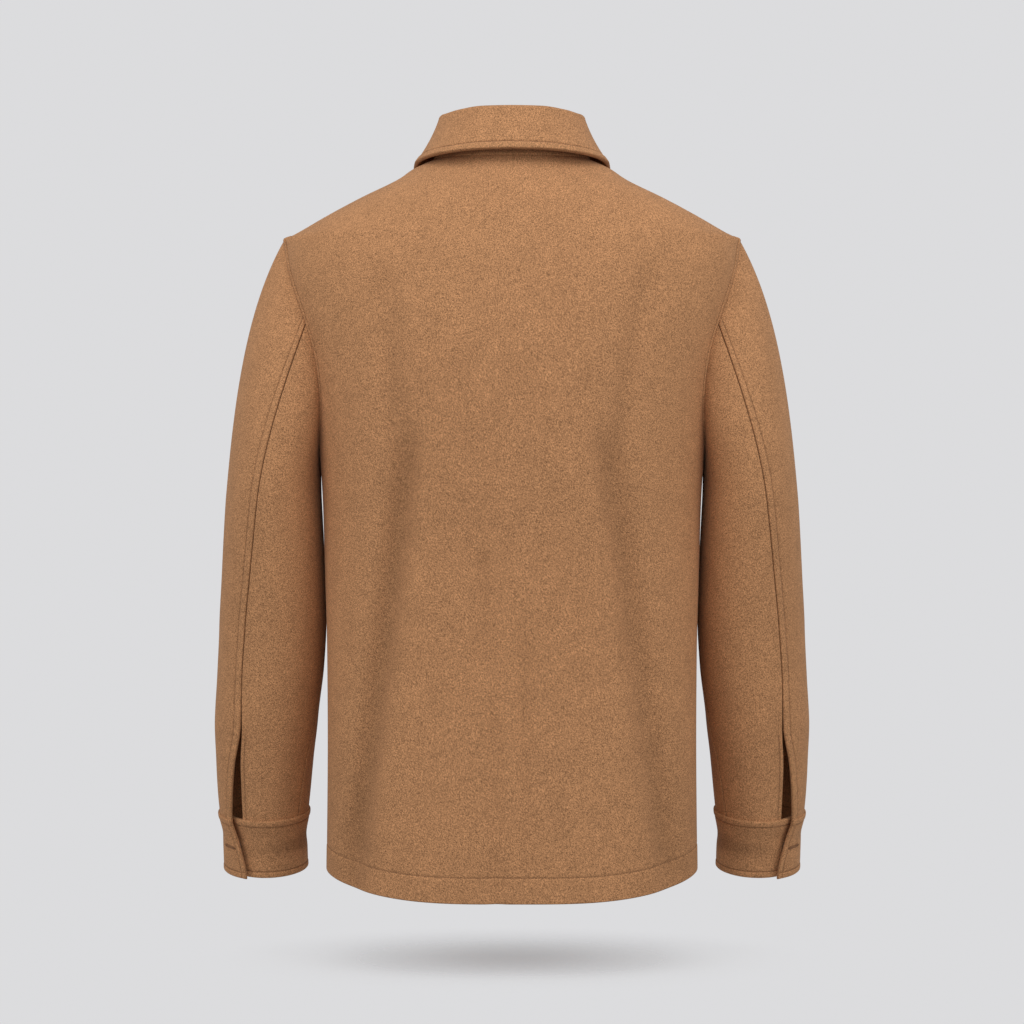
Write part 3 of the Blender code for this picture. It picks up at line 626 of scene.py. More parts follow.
def painted_fold_shade(point):
    """Painted shade: how far the wool's colour is darkened in the back's folds and low at its sides,
    where shade falls.
    """
    low_side_shade = 0.30 * ease((-0.52 - point.z) / 0.16) * ease((abs(point.x) - 0.10) / 0.075)
    return 0.80 * back_hollow(point.x, point.z) / DEEPEST_FOLD + low_side_shade


BACK_COLUMNS = 64
back_columns = [(-1, number) for number in range(BACK_COLUMNS + 1)]
back_columns += [(1, number) for number in range(BACK_COLUMNS - 1, -1, -1)]
back, back_grid = lay_cloth(
    "back_panel", back_columns, panel_rows, back_place, back_relief, body_cloth,
    lean=lambda column, row: armhole_lean(column, row, 1), painted_shade_at=painted_fold_shade,
)
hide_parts("back")


def stitches(name, lines, length=0.0032, radius=0.00024):
    """Topstitching: short waxed stitches laid end to end in their groove, each end going in."""
    stitch = bmesh.new()
    bmesh.ops.create_cone(
        stitch, cap_ends=True, segments=6, radius1=radius, radius2=radius, depth=0.8 * length,
    )
    lying = Matrix.Rotation(pi / 2, 3, "Y")
    bmesh.ops.rotate(stitch, cent=(0, 0, 0), matrix=lying, verts=stitch.verts[:])
    long_edges = [edge for edge in stitch.edges
                  if abs(edge.verts[0].co.x - edge.verts[1].co.x) > length / 2]
    bmesh.ops.subdivide_edges(stitch, edges=long_edges, cuts=2)
    for vert in stitch.verts:
        vert.co.z -= 1.6 * radius * (abs(vert.co.x) / (0.4 * length)) ** 4
    pattern = bpy.data.meshes.new(name + "_pattern")
    stitch.to_mesh(pattern)
    stitch.free()

    bm = bmesh.new()
    for line in lines:
        reach = [0.0]
        for before, after in zip(line, line[1:]):
            reach.append(reach[-1] + (after[0] - before[0]).length)
        count = max(int(reach[-1] / length), 1)
        for i in range(count):
            run = (i + 0.5) * reach[-1] / count
            k = min(max(bisect_right(reach, run) - 1, 0), len(line) - 2)
            t = (run - reach[k]) / max(reach[k + 1] - reach[k], 1e-9)
            point = line[k][0].lerp(line[k + 1][0], t)
            along = (line[k + 1][0] - line[k][0]).normalized()
            up = line[k][1].lerp(line[k + 1][1], t)
            up = (up - along * up.dot(along)).normalized()
            turned = Matrix((along, up.cross(along), up)).transposed().to_4x4()
            moved = Matrix.Translation(point + up * 0.6 * radius) @ turned
            first = len(bm.verts)
            bm.from_mesh(pattern)
            bm.verts.ensure_lookup_table()
            bmesh.ops.transform(bm, matrix=moved, verts=bm.verts[first:])
    bmesh.ops.recalc_face_normals(bm, faces=bm.faces[:])
    bpy.data.meshes.remove(pattern)
    sewn = object_of(name, bm)
    sewn.data.materials.append(thread)
    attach(sewn, "root")
    return sewn


def twisted_thread(name, colour):
    """Polyester buttonhole thread, dyed a shade deeper than the cloth."""
    made, tree, shader = material_of(name, {"Roughness": 0.55, "Specular IOR Level": 0.35})
    place = node(tree, "TexCoord").outputs["Object"]
    plies = noise(tree, place, scale=1500.0, detail=1.0)
    shade = ranged(tree, plies, to_min=0.75, to_max=1.2)
    tinted = node(tree, "VectorMath", operation="SCALE", first=colour, scale=shade)
    tree.links.new(tinted.outputs["Vector"], shader.inputs["Base Color"])
    return made


thread = twisted_thread("tan_thread", (0.30, 0.145, 0.068))

sewn_row = HEM_ROWS.index(HEM_DEPTH)
sewn_column = SEAM_STEPS.index(STITCH_LINE)
beside_armhole = slice(chest_start + 2, -3)
back_hem_stitches = stitches("back_hem_stitching", [back_grid[sewn_row][1:-1]])
back_armhole_stitches = stitches(
    "back_armhole_stitching",
    [[row[sewn_column] for row in back_grid[beside_armhole]],
     [row[-1 - sewn_column] for row in back_grid[beside_armhole]]],
)


# ------------------------------------------------------------------------------ fronts
# Two fronts of the same wool, joined to the back at shoulder and side.  Each is turned back
# along its edge as a 35 mm button stand: the left one lies on top and carries the buttonholes,
# and the right one is stepped in under it and carries the buttons.
FRONT_LAP = 0.0175
LAP_GAP = 0.0010
STEP_START = 0.0270
STEP_LINE = 0.0200
STAND_STITCH = 0.0175
FRONT_COLUMNS = 54
LAP_STEPS = (
    0.0280, 0.0255, 0.0235, 0.0215, 0.0200, 0.0190, 0.0182, 0.0175, 0.0168, 0.0160, 0.0148,
    0.0125, 0.0095, 0.0060, 0.0020, -0.0020, -0.0060, -0.0085, -0.0098, -0.0108, -0.0115,
    -0.0122, -0.0132, -0.0145, -0.0157, -0.0166, -0.0172, -0.0175,
)
EDGE_STITCH = -0.0115


def lap_place(x, row):
    """A point of the button stand, whose rows run level from its stitched line to its edge."""
    _, height = body_place(1.0, row, -1)
    if row[0] == "chest":
        _, neck = neckline(front_turn(x))
        _, neck_at_line = top_edge(1.0, -1)
        height = UNDERARM + (height - UNDERARM) * (neck - UNDERARM) / (neck_at_line - UNDERARM)
    return torso_point(1, angle_from_width(x, height, -1), height)


def front_place(column, row):
    side, number = column
    if isinstance(number, float):
        point = lap_place(number, row)
        point.x *= side
        if side < 0:
            step = ease((STEP_START - number) / (STEP_START - STEP_LINE))
            point.y += step * (body_cloth(column, row) + LAP_GAP)
        return point
    return body_point(side, wide_share(number, FRONT_COLUMNS, row, -1), row, -1)


def front_relief(column, row):
    side, number = column
    kind, value = row
    rise = hem_relief(value) if kind == "hem" else 0.0
    if isinstance(number, float):
        if side > 0:
            rise += 0.0005 * ease((STAND_STITCH + 0.0003 - number) / 0.0012)
            rise -= GROOVE_DEPTH * bump_at(number, STAND_STITCH, GROOVE_WIDTH)
            rise -= GROOVE_DEPTH * bump_at(number, EDGE_STITCH, GROOVE_WIDTH)
        return rise
    if kind == "chest" and number < len(SEAM_STEPS):
        rise += seam_ridge(SEAM_STEPS[number], STITCH_LINE) * ease(value / 0.05)
    return rise


def front_lean(column, row):
    return None if isinstance(column[1], float) else armhole_lean(column, row, -1)


front_columns = list(range(FRONT_COLUMNS + 1)) + list(LAP_STEPS)
for side, label in ((1, "left"), (-1, "right")):
    front, front_grid = lay_cloth(
        f"front_{label}_panel", [(side, number) for number in front_columns], panel_rows,
        front_place, front_relief, body_cloth, lean=front_lean,
    )
    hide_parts(f"front_{label}")
    lines = [
        front_grid[sewn_row][1:-1],
        [row[sewn_column] for row in front_grid[beside_armhole]],
    ]
    if side > 0:
        first_lap = FRONT_COLUMNS + 1
        lines.append([row[first_lap + LAP_STEPS.index(STAND_STITCH)] for row in front_grid[1:-1]])
        lines.append([row[first_lap + LAP_STEPS.index(EDGE_STITCH)] for row in front_grid[1:-1]])
    front_stitches = stitches(f"front_{label}_stitching", lines)


# ------------------------------------------------------------------------------ sleeves
# A two-piece sleeve: the wide upper piece and the narrow under piece meet in a topstitched seam
# that runs down the back of the arm and ends in an open vent above the cuff, where a bar of
# stitching holds it.  The other seam, under the arm, is plain.
SLEEVE_COLUMNS = "height centre_x centre_y half_width half_depth tilt back_seam vent under_seam"
SLEEVE_ROWS = (
    (-0.3000, 0.2433, -0.0040, 0.0458, 0.0795, 0.0, 84.0, 0.0, 180.0),
    (-0.3400, 0.2443, -0.0060, 0.0487, 0.0775, 0.0, 79.0, 0.0, 180.0),
    (-0.4200, 0.2452, -0.0120, 0.0530, 0.0690, 0.5, 70.0, 0.0, 178.0),
    (-0.4700, 0.2463, -0.0160, 0.0549, 0.0635, 1.5, 65.5, 0.0, 175.5),
    (-0.5100, 0.2486, -0.0190, 0.0547, 0.0602, 2.8, 64.0, 0.0, 172.5),
    (-0.5650, 0.2530, -0.0230, 0.0518, 0.0560, 5.0, 66.0, 0.3, 164.0),
    (-0.6060, 0.2539, -0.0270, 0.0466, 0.0510, 7.5, 61.0, 5.0, 153.0),
    (-0.6600, 0.2545, -0.0335, 0.0405, 0.0450, 8.5, 58.5, 10.5, 146.0),
)
SLEEVE_TOP_RING = -0.34
SLEEVE_END = -0.6600
SLEEVE_TUCK = 0.0016
SLEEVE_PUFF = 0.092
HEAD_LEAN = 0.02
HEAD_LEAVING = 0.30
HEAD_ARRIVING = 0.34
SEAM_WAY = 7 / 24
SLEEVE_SEAM_SHARE = 0.0006
CUFF_LAP = 0.0080
VENT_TOP = -0.572
SLEEVE_STITCH = 0.0077
UNDER_STITCH = 0.0046
ARM_STEPS = (
    0.0, 0.0005, 0.0011, 0.0018, 0.0027, 0.0038, 0.0050, 0.0062, 0.0070, 0.0077,
    0.0084, 0.0094, 0.0112, 0.0140, 0.0180,
)
UNDER_STEPS = (0.0, 0.0005, 0.0011, 0.0018, 0.0028, 0.0039, 0.0046, 0.0053, 0.0066, 0.0090, 0.0125)
PLAIN_STEPS = (0.0, 0.0005, 0.0011, 0.0018, 0.0030, 0.0050, 0.0080)
END_STEPS = (0.0020, 0.0011, 0.0005, 0.0)

sleeve_ring = smooth_table(SLEEVE_COLUMNS, SLEEVE_ROWS)


def cuff_lap(angle):
    """How far out the lapped end has moved at this angle, 0 to 1."""
    return ease((angle - 90) / 240)


def ring_point(angle, height):
    """Outer point of the sleeve tube; angle in degrees, 90 at the back, over 180 in front."""
    ring = sleeve_ring(height)
    turn, tilt = radians(angle), radians(ring.tilt)
    lap = CUFF_LAP * cuff_lap(angle) * ease((-0.52 - height) / 0.14)
    back = (ring.half_depth + lap) * sin(turn)
    return Vector((
        ring.centre_x + (ring.half_width + lap) * cos(turn),
        ring.centre_y + back * cos(tilt),
        height - back * sin(tilt),
    ))


def ring_angle(way, height, upper):
    """Degrees round the tube for a place round the armhole, on the upper or under sleeve."""
    ring = sleeve_ring(height)
    if upper:
        share = (way - SEAM_WAY) / (1 - SEAM_WAY)
        return mix(360 + ring.back_seam - ring.vent, ring.under_seam, share)
    return mix(ring.under_seam, ring.back_seam, way / SEAM_WAY)


def sleeve_point(way, down, upper):
    """Outer sleeve surface: down is 0 at the armhole, 1 at the first full ring, 2 at the cuff."""
    if down >= 1:
        height = arm_height(down)
        return ring_point(ring_angle(way, height, upper), height)
    start, _, outward = armhole_frame(way)
    start = start + outward * (0.5 * SEAM_GAP)
    end_angle = ring_angle(way, SLEEVE_TOP_RING, upper)
    end = ring_point(end_angle, SLEEVE_TOP_RING)
    above = ring_point(ring_angle(way, SLEEVE_TOP_RING + 0.02, upper), SLEEVE_TOP_RING + 0.02)
    length = (end - start).length
    turn = radians(end_angle)
    puff = SLEEVE_PUFF * ((1 + cos(turn)) / 2) ** 1.2
    leave = (end - start + Vector((cos(turn), sin(turn), 0)) * puff).normalized()
    first = start + leave * (HEAD_LEAVING * length)
    second = end + (above - end).normalized() * (HEAD_ARRIVING * length)
    t, r = down, 1 - down
    return start * r**3 + first * (3 * r * r * t) + second * (3 * r * t * t) + end * t**3


sleeve_reaches = {}


def sleeve_way(column, down, upper):
    """The way round the armhole of a column kept at a distance from either of its seams."""
    first = SEAM_WAY + SLEEVE_SEAM_SHARE if upper else SLEEVE_SEAM_SHARE
    last = 1 - SLEEVE_SEAM_SHARE if upper else SEAM_WAY - SLEEVE_SEAM_SHARE
    if (down, upper) not in sleeve_reaches:
        sleeve_reaches[down, upper] = reach_along(
            lambda share: sleeve_point(mix(first, last, share), down, upper), parts=20,
        )
    reach = sleeve_reaches[down, upper]
    start, end = (ARM_STEPS[-1], PLAIN_STEPS[-1]) if upper else (PLAIN_STEPS[-1], UNDER_STEPS[-1])
    return mix(first, last, share_of(reach, spread_distance(column, reach[-1], start, end)))


def spread_distance(column, length, start, end):
    """How far along a row of this length a column lies, with set columns up to start and end."""
    kind, value = column
    if kind == "from":
        return value
    if kind == "to":
        return length - value
    return mix(start, length - end, value)


def spread(first_steps, count, last_steps):
    """Columns at set distances from the first edge, evenly across, and from the last edge."""
    columns = [("from", value) for value in first_steps]
    columns += [("wide", i / count) for i in range(1, count)]
    return columns + [("to", value) for value in reversed(last_steps)]


def arm_height(down):
    """Height of a row of the sleeve below its head."""
    return mix(SLEEVE_TOP_RING, SLEEVE_END, down - 1)


def upper_relief(column, down):
    kind, value = column
    if kind == "from" and value < 0.013:
        return seam_ridge(value, SLEEVE_STITCH, 0.0007, 0.0006) * ease(down / 0.02)
    if kind == "to":
        return 0.0003 * ease(value / 0.0016) * ease((0.0060 - value) / 0.003)
    return 0.0


def under_relief(column, down):
    kind, value = column
    if kind == "to":
        below_vent = ease((VENT_TOP + 0.004 - arm_height(down)) / 0.008)
        return -GROOVE_DEPTH * bump_at(value, UNDER_STITCH, GROOVE_WIDTH) * below_vent
    return 0.0


def sleeve_place(column, down, upper, side):
    return mirrored(sleeve_point(sleeve_way(column, down, upper), down, upper), side)


def sleeve_lean(way, down, side):
    if down > HEAD_LEAN:
        return None
    _, inward, _ = armhole_frame(way)
    return mirrored(inward, side), 1 - down / HEAD_LEAN


arm_rows = [0.0, 0.003, 0.006, 0.010, 0.016, 0.024]
arm_rows += [0.034 + 0.966 * i / 44 for i in range(45)]
arm_rows += [1 + i / 88 for i in range(1, 88)]
arm_rows += [2 + (SLEEVE_TUCK - value) / (SLEEVE_TOP_RING - SLEEVE_END) for value in END_STEPS]
upper_columns = spread(ARM_STEPS, 78, PLAIN_STEPS)
under_columns = spread(PLAIN_STEPS, 22, UNDER_STEPS)
vent_row = next(i for i, down in enumerate(arm_rows) if arm_height(down) < VENT_TOP)
seam_column = ARM_STEPS.index(SLEEVE_STITCH)
under_column = len(under_columns) - 1 - UNDER_STEPS.index(UNDER_STITCH)

for side, label in ((1, "left"), (-1, "right")):
    (upper, upper_grid), (under, under_grid) = [
        lay_cloth(
            f"sleeve_{part}_{label}_panel", columns, arm_rows,
            lambda column, down: sleeve_place(column, down, is_upper, side),
            relief, lambda column, down: CLOTH,
            lean=lambda column, down: sleeve_lean(sleeve_way(column, down, is_upper), down, side),
        )
        for part, columns, relief, is_upper in (
            ("upper", upper_columns, upper_relief, True),
            ("under", under_columns, under_relief, False),
        )
    ]
    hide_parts(f"sleeve_upper_{label}")
    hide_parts(f"sleeve_under_{label}")
    bar = [upper_grid[vent_row][i] for i in range(1, seam_column + 1)]
    upper_stitches = stitches(
        f"sleeve_upper_{label}_stitching",
        [[row[seam_column] for row in upper_grid[1:-1]], bar, bar],
    )
    under_stitches = stitches(
        f"sleeve_under_{label}_stitching", [[row[under_column] for row in under_grid[vent_row:-1]]],
    )


# ------------------------------------------------------------------------------ cuffs
# Each cuff is a doubled band 62 mm high, topstitched all round, its lapped end swinging back
# over the under end.  It hangs unbuttoned, so the end stands clear of the wrist.
CUFF_TOP = -0.6603
CUFF_HEIGHT = 0.0620
CUFF_CLOTH = 0.0040
CUFF_UNDER_END = 26.0
CUFF_OVER_END = 408.0
CUFF_OVER_SWING = 18.0
CUFF_TOP_WIDTH, CUFF_TOP_DEPTH = 0.0836, 0.0930
CUFF_WIDTH, CUFF_DEPTH = 0.0762, 0.0820
CUFF_TILT = radians(8.5)
CUFF_RIM = 0.0070
CUFF_FOOT = 0.0066
CUFF_FOOT_ROW = 0.0554
CUFF_END_STITCH = 0.0048
CUFF_ROWS = (
    0.0, 0.0005, 0.0012, 0.0020, 0.0029, 0.0038, 0.0050, 0.0060, 0.0065, 0.0070, 0.0075,
    0.0082, 0.0095, 0.0120, 0.0155, 0.0195, 0.0235, 0.0275, 0.0315, 0.0355, 0.0395, 0.0435,
    0.0475, 0.0510, 0.0530, 0.0542, 0.0549, 0.0554, 0.0560, 0.0568, 0.0580, 0.0592, 0.0601,
    0.0608, 0.0614, 0.0620,
)
CUFF_STEPS = (
    0.0, 0.0005, 0.0012, 0.0020, 0.0029, 0.0038, 0.0043, 0.0048, 0.0053, 0.0060, 0.0075,
    0.0100, 0.0135,
)


def cuff_point(share, drop):
    """Outer cuff surface: share runs from the under end to the lapped end, drop down the cuff."""
    down = drop / CUFF_HEIGHT
    angle = mix(CUFF_UNDER_END, CUFF_OVER_END + CUFF_OVER_SWING * ease(down), share)
    ring = sleeve_ring(SLEEVE_END)
    turn = radians(angle)
    narrow = ease(down / 0.4)
    lap = CUFF_LAP * cuff_lap(angle)
    half_width = 0.5 * mix(CUFF_TOP_WIDTH, CUFF_WIDTH, narrow) + lap
    half_depth = 0.5 * mix(CUFF_TOP_DEPTH, CUFF_DEPTH, narrow) + lap
    back_way = half_depth * sin(turn)
    return Vector((
        ring.centre_x - 0.001 * down + half_width * cos(turn),
        ring.centre_y - drop * sin(CUFF_TILT) + back_way * cos(CUFF_TILT),
        CUFF_TOP - drop * cos(CUFF_TILT) - back_way * sin(CUFF_TILT),
    ))


cuff_reaches = {drop: reach_along(lambda share: cuff_point(share, drop), 40) for drop in CUFF_ROWS}


def cuff_share(column, drop):
    reach = cuff_reaches[drop]
    edge = CUFF_STEPS[-1]
    return share_of(reach, spread_distance(column, reach[-1], edge, edge))


def cuff_relief(column, drop):
    kind, value = column
    rim = seam_ridge(drop, CUFF_RIM, 0.0006, 0.0006)
    foot = seam_ridge(CUFF_HEIGHT - drop, CUFF_FOOT, 0.0004, 0.0006)
    end = seam_ridge(value, CUFF_END_STITCH, 0.0004, 0.0006) if kind != "wide" else 0.0
    share = value if kind == "wide" else 0.0
    crease = 0.0009 * bump_at(drop, mix(0.034, 0.020, share), 0.007) * sin(pi * share)
    return max(rim, foot, end, key=abs) - crease


cuff_columns = spread(CUFF_STEPS, 110, CUFF_STEPS)
for side, label in ((1, "left"), (-1, "right")):
    cuff, cuff_grid = lay_cloth(
        f"cuff_{label}_band", cuff_columns, CUFF_ROWS,
        lambda column, drop: mirrored(cuff_point(cuff_share(column, drop), drop), side),
        cuff_relief, lambda column, drop: CUFF_CLOTH, edge_roll=0.0017,
    )
    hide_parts(f"cuff_{label}")
    stitched_rows = cuff_grid[CUFF_ROWS.index(CUFF_RIM):CUFF_ROWS.index(CUFF_FOOT_ROW) + 1]
    end_column = CUFF_STEPS.index(CUFF_END_STITCH)
    cuff_stitches = stitches(
        f"cuff_{label}_stitching",
        [stitched_rows[0][end_column:-end_column - 1], stitched_rows[-1][end_column:-end_column - 1],
         [row[end_column] for row in stitched_rows],
         [row[-1 - end_column] for row in stitched_rows]],
    )


# ------------------------------------------------------------------------------ collar stand
# The stand is a stiffened band sewn round the neck.  It leans in a little, and its two ends
# lap and button at the front like the fronts below them.
STAND_CLOTH = 0.0030
NECK_SEAM = 0.0011
STAND_STITCH_UP = 0.10
COLLAR_COLUMNS = "turn rise inward edge_x edge_y edge_z sag"
COLLAR_ROWS = (
    (0.00, 0.0397, 0.0040, 0.0000, 0.0765, 0.0066, 0.0004),
    (0.12, 0.0395, 0.0045, 0.0326, 0.0738, 0.0060, 0.0004),
    (0.25, 0.0382, 0.0105, 0.0617, 0.0645, 0.0044, 0.0006),
    (0.38, 0.0361, 0.0115, 0.0830, 0.0425, 0.0034, 0.0018),
    (0.50, 0.0362, 0.0115, 0.0982, -0.0050, 0.0030, 0.0022),
    (0.62, 0.0365, 0.0110, 0.1020, -0.0450, -0.0150, 0.0022),
    (0.75, 0.0360, 0.0100, 0.0940, -0.0785, -0.0500, 0.0005),
    (0.88, 0.0320, 0.0065, 0.0740, -0.0975, -0.0820, 0.0000),
    (0.97, 0.0280, 0.0075, 0.0520, -0.1065, -0.1030, 0.0000),
    (1.00, 0.0275, 0.0078, 0.0480, -0.1070, -0.1060, 0.0000),
)
collar = smooth_table(COLLAR_COLUMNS, COLLAR_ROWS)
neck_frames = {}


def torso_normal(side, angle, height):
    across = torso_point(side, angle + 0.01, height) - torso_point(side, angle - 0.01, height)
    up = torso_point(side, angle, height + 0.002) - torso_point(side, angle, height - 0.002)
    return (across.cross(up) * side).normalized()


def neck_frame(turn):
    """Neck seam point, the body's normal, the seam's way, and the outward way from above."""
    if turn not in neck_frames:
        angle, height = neckline(turn)
        point = torso_point(1, angle, height)
        if turn > 0.01:
            after = torso_point(1, *neckline(turn + 0.01))
            before = torso_point(1, *neckline(turn - 0.01))
            along = (after - before).normalized()
        else:
            along = Vector((1, 0, 0))
        outward = Vector((-along.y, along.x, 0)).normalized()
        if turn > 0.8:
            outward = outward.lerp(Vector((0, -1, 0)), ease((turn - 0.8) / 0.1)).normalized()
        neck_frames[turn] = point, torso_normal(1, angle, height), along, outward
    return neck_frames[turn]


def stand_top(turn):
    point, _, _, outward = neck_frame(turn)
    row = collar(min(turn, 2 - turn))
    return point + Vector((0, 0, row.rise)) - outward * row.inward


def stand_point(signed_turn, up):
    """Outer face of the stand; past centre front its right end lies under the left one."""
    side = -1 if signed_turn < 0 else 1
    turn = abs(signed_turn)
    point, normal, along, outward = neck_frame(turn)
    seam_up = along.cross(normal)
    foot = point - (seam_up if seam_up.z > 0 else -seam_up) * NECK_SEAM
    outer = foot.lerp(stand_top(turn), up)
    if side < 0:
        start, line = front_turn(STEP_START), front_turn(STEP_LINE)
        step = ease((turn - start) / (line - start))
        outer = outer - outward * (step * (STAND_CLOTH + LAP_GAP))
    return mirrored(outer, side)


stand_end = front_turn(-FRONT_LAP)
stand_turns = [-stand_end * (1 - i / 70) for i in range(70)]
stand_turns += [stand_end * i / 70 for i in range(71)]
stand_ups = [0.0, 0.02, 0.05, 0.10, 0.2, 0.3, 0.4, 0.5, 0.6, 0.7, 0.8, 0.9, 0.96, 0.985, 1.0]
stand, stand_grid = lay_cloth(
    "collar_stand_band", stand_turns, stand_ups, stand_point,
    lambda turn, up: -0.0004 * bump_at(up, STAND_STITCH_UP, 0.03),
    lambda turn, up: STAND_CLOTH, edge_roll=0.0012,
)
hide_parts("collar_stand")
stand_stitches = stitches(
    "collar_stand_stitching", [stand_grid[stand_ups.index(STAND_STITCH_UP)][2:-2]],
)


# ------------------------------------------------------------------------------ collar leaf
# The turned-down leaf is two layers and a stiffener, folded over the top of the stand.  A line
# of stitching 8 mm from its free edge leaves a full, rounded rim.
COLLAR_CLOTH = 0.0036
FOLD_GAP = 0.0008
LEAF_END = 0.0075
LEAF_FOOT = 0.004
FOLD_RADIUS = 0.0032
RIM = 0.0078
RIM_RISE = 0.0009
LEAF_FOLDED, LEAF_EDGE = 4, 8
RIM_STEPS = (
    0.0, 0.0005, 0.0012, 0.0021, 0.0032, 0.0045, 0.0058, 0.0067, 0.0073, 0.0078, 0.0083,
    0.0090, 0.0104, 0.0128, 0.0165,
)


def leaf_middle(turn, across):
    """Middle of the leaf's thickness: across is 0 on the stand, then over the fold to the edge."""
    _, _, _, outward = neck_frame(turn)
    base = stand_top(turn) - outward * (0.5 * STAND_CLOTH) + Vector((0, 0, FOLD_GAP))
    if across <= 1:
        return base + Vector((0, 0, LEAF_FOOT * across))
    if across <= LEAF_FOLDED:
        bend = pi * (across - 1) / (LEAF_FOLDED - 1)
        rise = LEAF_FOOT + FOLD_RADIUS * sin(bend)
        return base + Vector((0, 0, rise)) + outward * (FOLD_RADIUS * (1 - cos(bend)))
    row = collar(turn)
    start = base + Vector((0, 0, LEAF_FOOT)) + outward * (2 * FOLD_RADIUS)
    edge = Vector((row.edge_x, row.edge_y, row.edge_z + 0.5 * COLLAR_CLOTH))
    t = (across - LEAF_FOLDED) / (LEAF_EDGE - LEAF_FOLDED)
    return start.lerp(edge, t) - outward * (row.sag * 4 * t * (1 - t))


def leaf_point(signed_turn, across):
    side = -1 if signed_turn < 0 else 1
    turn = abs(signed_turn)
    if turn < 0.02:
        along = Vector((1, 0, 0))
    else:
        along = leaf_middle(turn + 0.02, across) - leaf_middle(turn - 0.02, across)
    low, high = max(across - 0.25, 0.0), min(across + 0.25, LEAF_EDGE)
    down = leaf_middle(turn, high) - leaf_middle(turn, low)
    outer = leaf_middle(turn, across) + along.cross(down).normalized() * (0.5 * COLLAR_CLOTH)
    return mirrored(outer, side)


leaf_end = front_turn(LEAF_END)
leaf_reaches = {}


def leaf_place(column, row):
    side, kind, value = column
    level, reading = row
    if row not in leaf_reaches:
        def point_at(share):
            return leaf_point(share * leaf_end, LEAF_EDGE if level == "rim" else reading)
        leaf_reaches[row] = reach_along(point_at, 40)
    reach = leaf_reaches[row]
    distance = value * (reach[-1] - RIM_STEPS[-1]) if kind == "wide" else reach[-1] - value
    turn = share_of(reach, distance) * leaf_end
    length = (leaf_middle(turn, LEAF_EDGE) - leaf_middle(turn, LEAF_FOLDED)).length
    across = reading
    if level == "rim":
        across = LEAF_EDGE - reading / length * (LEAF_EDGE - LEAF_FOLDED)
    elif across > LEAF_FOLDED:
        across = LEAF_FOLDED + (across - LEAF_FOLDED) * (1 - RIM_STEPS[-1] / length)
    return leaf_point(side * max(turn, 1e-6), across)


def leaf_relief(column, row):
    _, kind, value = column
    level, reading = row
    to_edge = reading if level == "rim" else 1.0
    if kind == "end":
        to_edge = min(to_edge, value) if level == "rim" or reading > LEAF_FOLDED else to_edge
    rise = RIM_RISE * ease((RIM + 0.0003 - to_edge) / 0.0022)
    return rise - 0.0006 * bump_at(to_edge, RIM, GROOVE_WIDTH)


half_leaf = [(1, "wide", i / 62) for i in range(63)]
half_leaf += [(1, "end", value) for value in reversed(RIM_STEPS[:-1])]
leaf_columns = [(-1, kind, value) for _, kind, value in reversed(half_leaf)] + half_leaf[1:]
leaf_rows = [("leaf", value) for value in (0.0, 0.5, 1.0, 1.4, 1.8, 2.2, 2.6, 3.0, 3.4, 3.7, 4.0)]
first_fall_row = len(leaf_rows) + 1
leaf_rows += [("leaf", LEAF_FOLDED + (LEAF_EDGE - LEAF_FOLDED) * i / 14) for i in range(1, 14)]
leaf_rows += [("rim", value) for value in reversed(RIM_STEPS)]
leaf, leaf_grid = lay_cloth(
    "collar_leaf", leaf_columns, leaf_rows, leaf_place, leaf_relief,
    lambda column, row: COLLAR_CLOTH, edge_roll=0.0016,
)
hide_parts("collar_fall")
rim_row = leaf_rows.index(("rim", RIM))
end_column = RIM_STEPS.index(RIM)
fallen_rows = leaf_grid[first_fall_row:rim_row + 1]
leaf_stitches = stitches(
    "collar_leaf_stitching",
    [leaf_grid[rim_row][end_column:-end_column - 1],
     [row[end_column] for row in fallen_rows],
     [row[-1 - end_column] for row in fallen_rows]],
)


# ------------------------------------------------------------------------------ buttons
# Seven turned horn buttons close the front and one more sits on each cuff.  Each is dished,
# has four holes, and is sewn on with three strands over each pair of them.  The buttonholes are
# worked in the same thread: upright down the front, level on the stand and the cuffs.
BUTTON_RADIUS = 0.009
BUTTON_THICKNESS = 0.0035
CUFF_BUTTON_RADIUS = 0.0070
CUFF_BUTTON_THICKNESS = 0.0022
FIRST_BUTTON = -0.128
BUTTON_PITCH = 0.098
CUFF_BUTTON_ANGLE = 44.0
CUFF_HOLE_ANGLE = 399.0
HOLE_RADIUS = 0.00105
BUTTON_LIFT = 0.0006
CUFF_BUTTON_LIFT = 0.00045
SLIT_LIFT = 0.0002
SLIT_SHIFT = 0.0015
SLIT_LENGTH = 0.0205
CUFF_SLIT_LENGTH = 0.0155
SAME_PLACE = 1e-6


def ring_of_edges(bm, centre, radius, steps):
    """A closed ring of edges, turned from one point."""
    start = bm.verts.new(centre + Vector((radius, 0, 0)))
    bmesh.ops.spin(
        bm, geom=[start], cent=centre, axis=(0, 0, 1), angle=2 * pi, steps=steps, use_merge=True,
    )
    return [
        edge for edge in bm.edges
        if abs((edge.verts[0].co - centre).xy.length - radius) < SAME_PLACE
        and abs(edge.verts[0].co.z - centre.z) < SAME_PLACE and not edge.link_faces
    ]


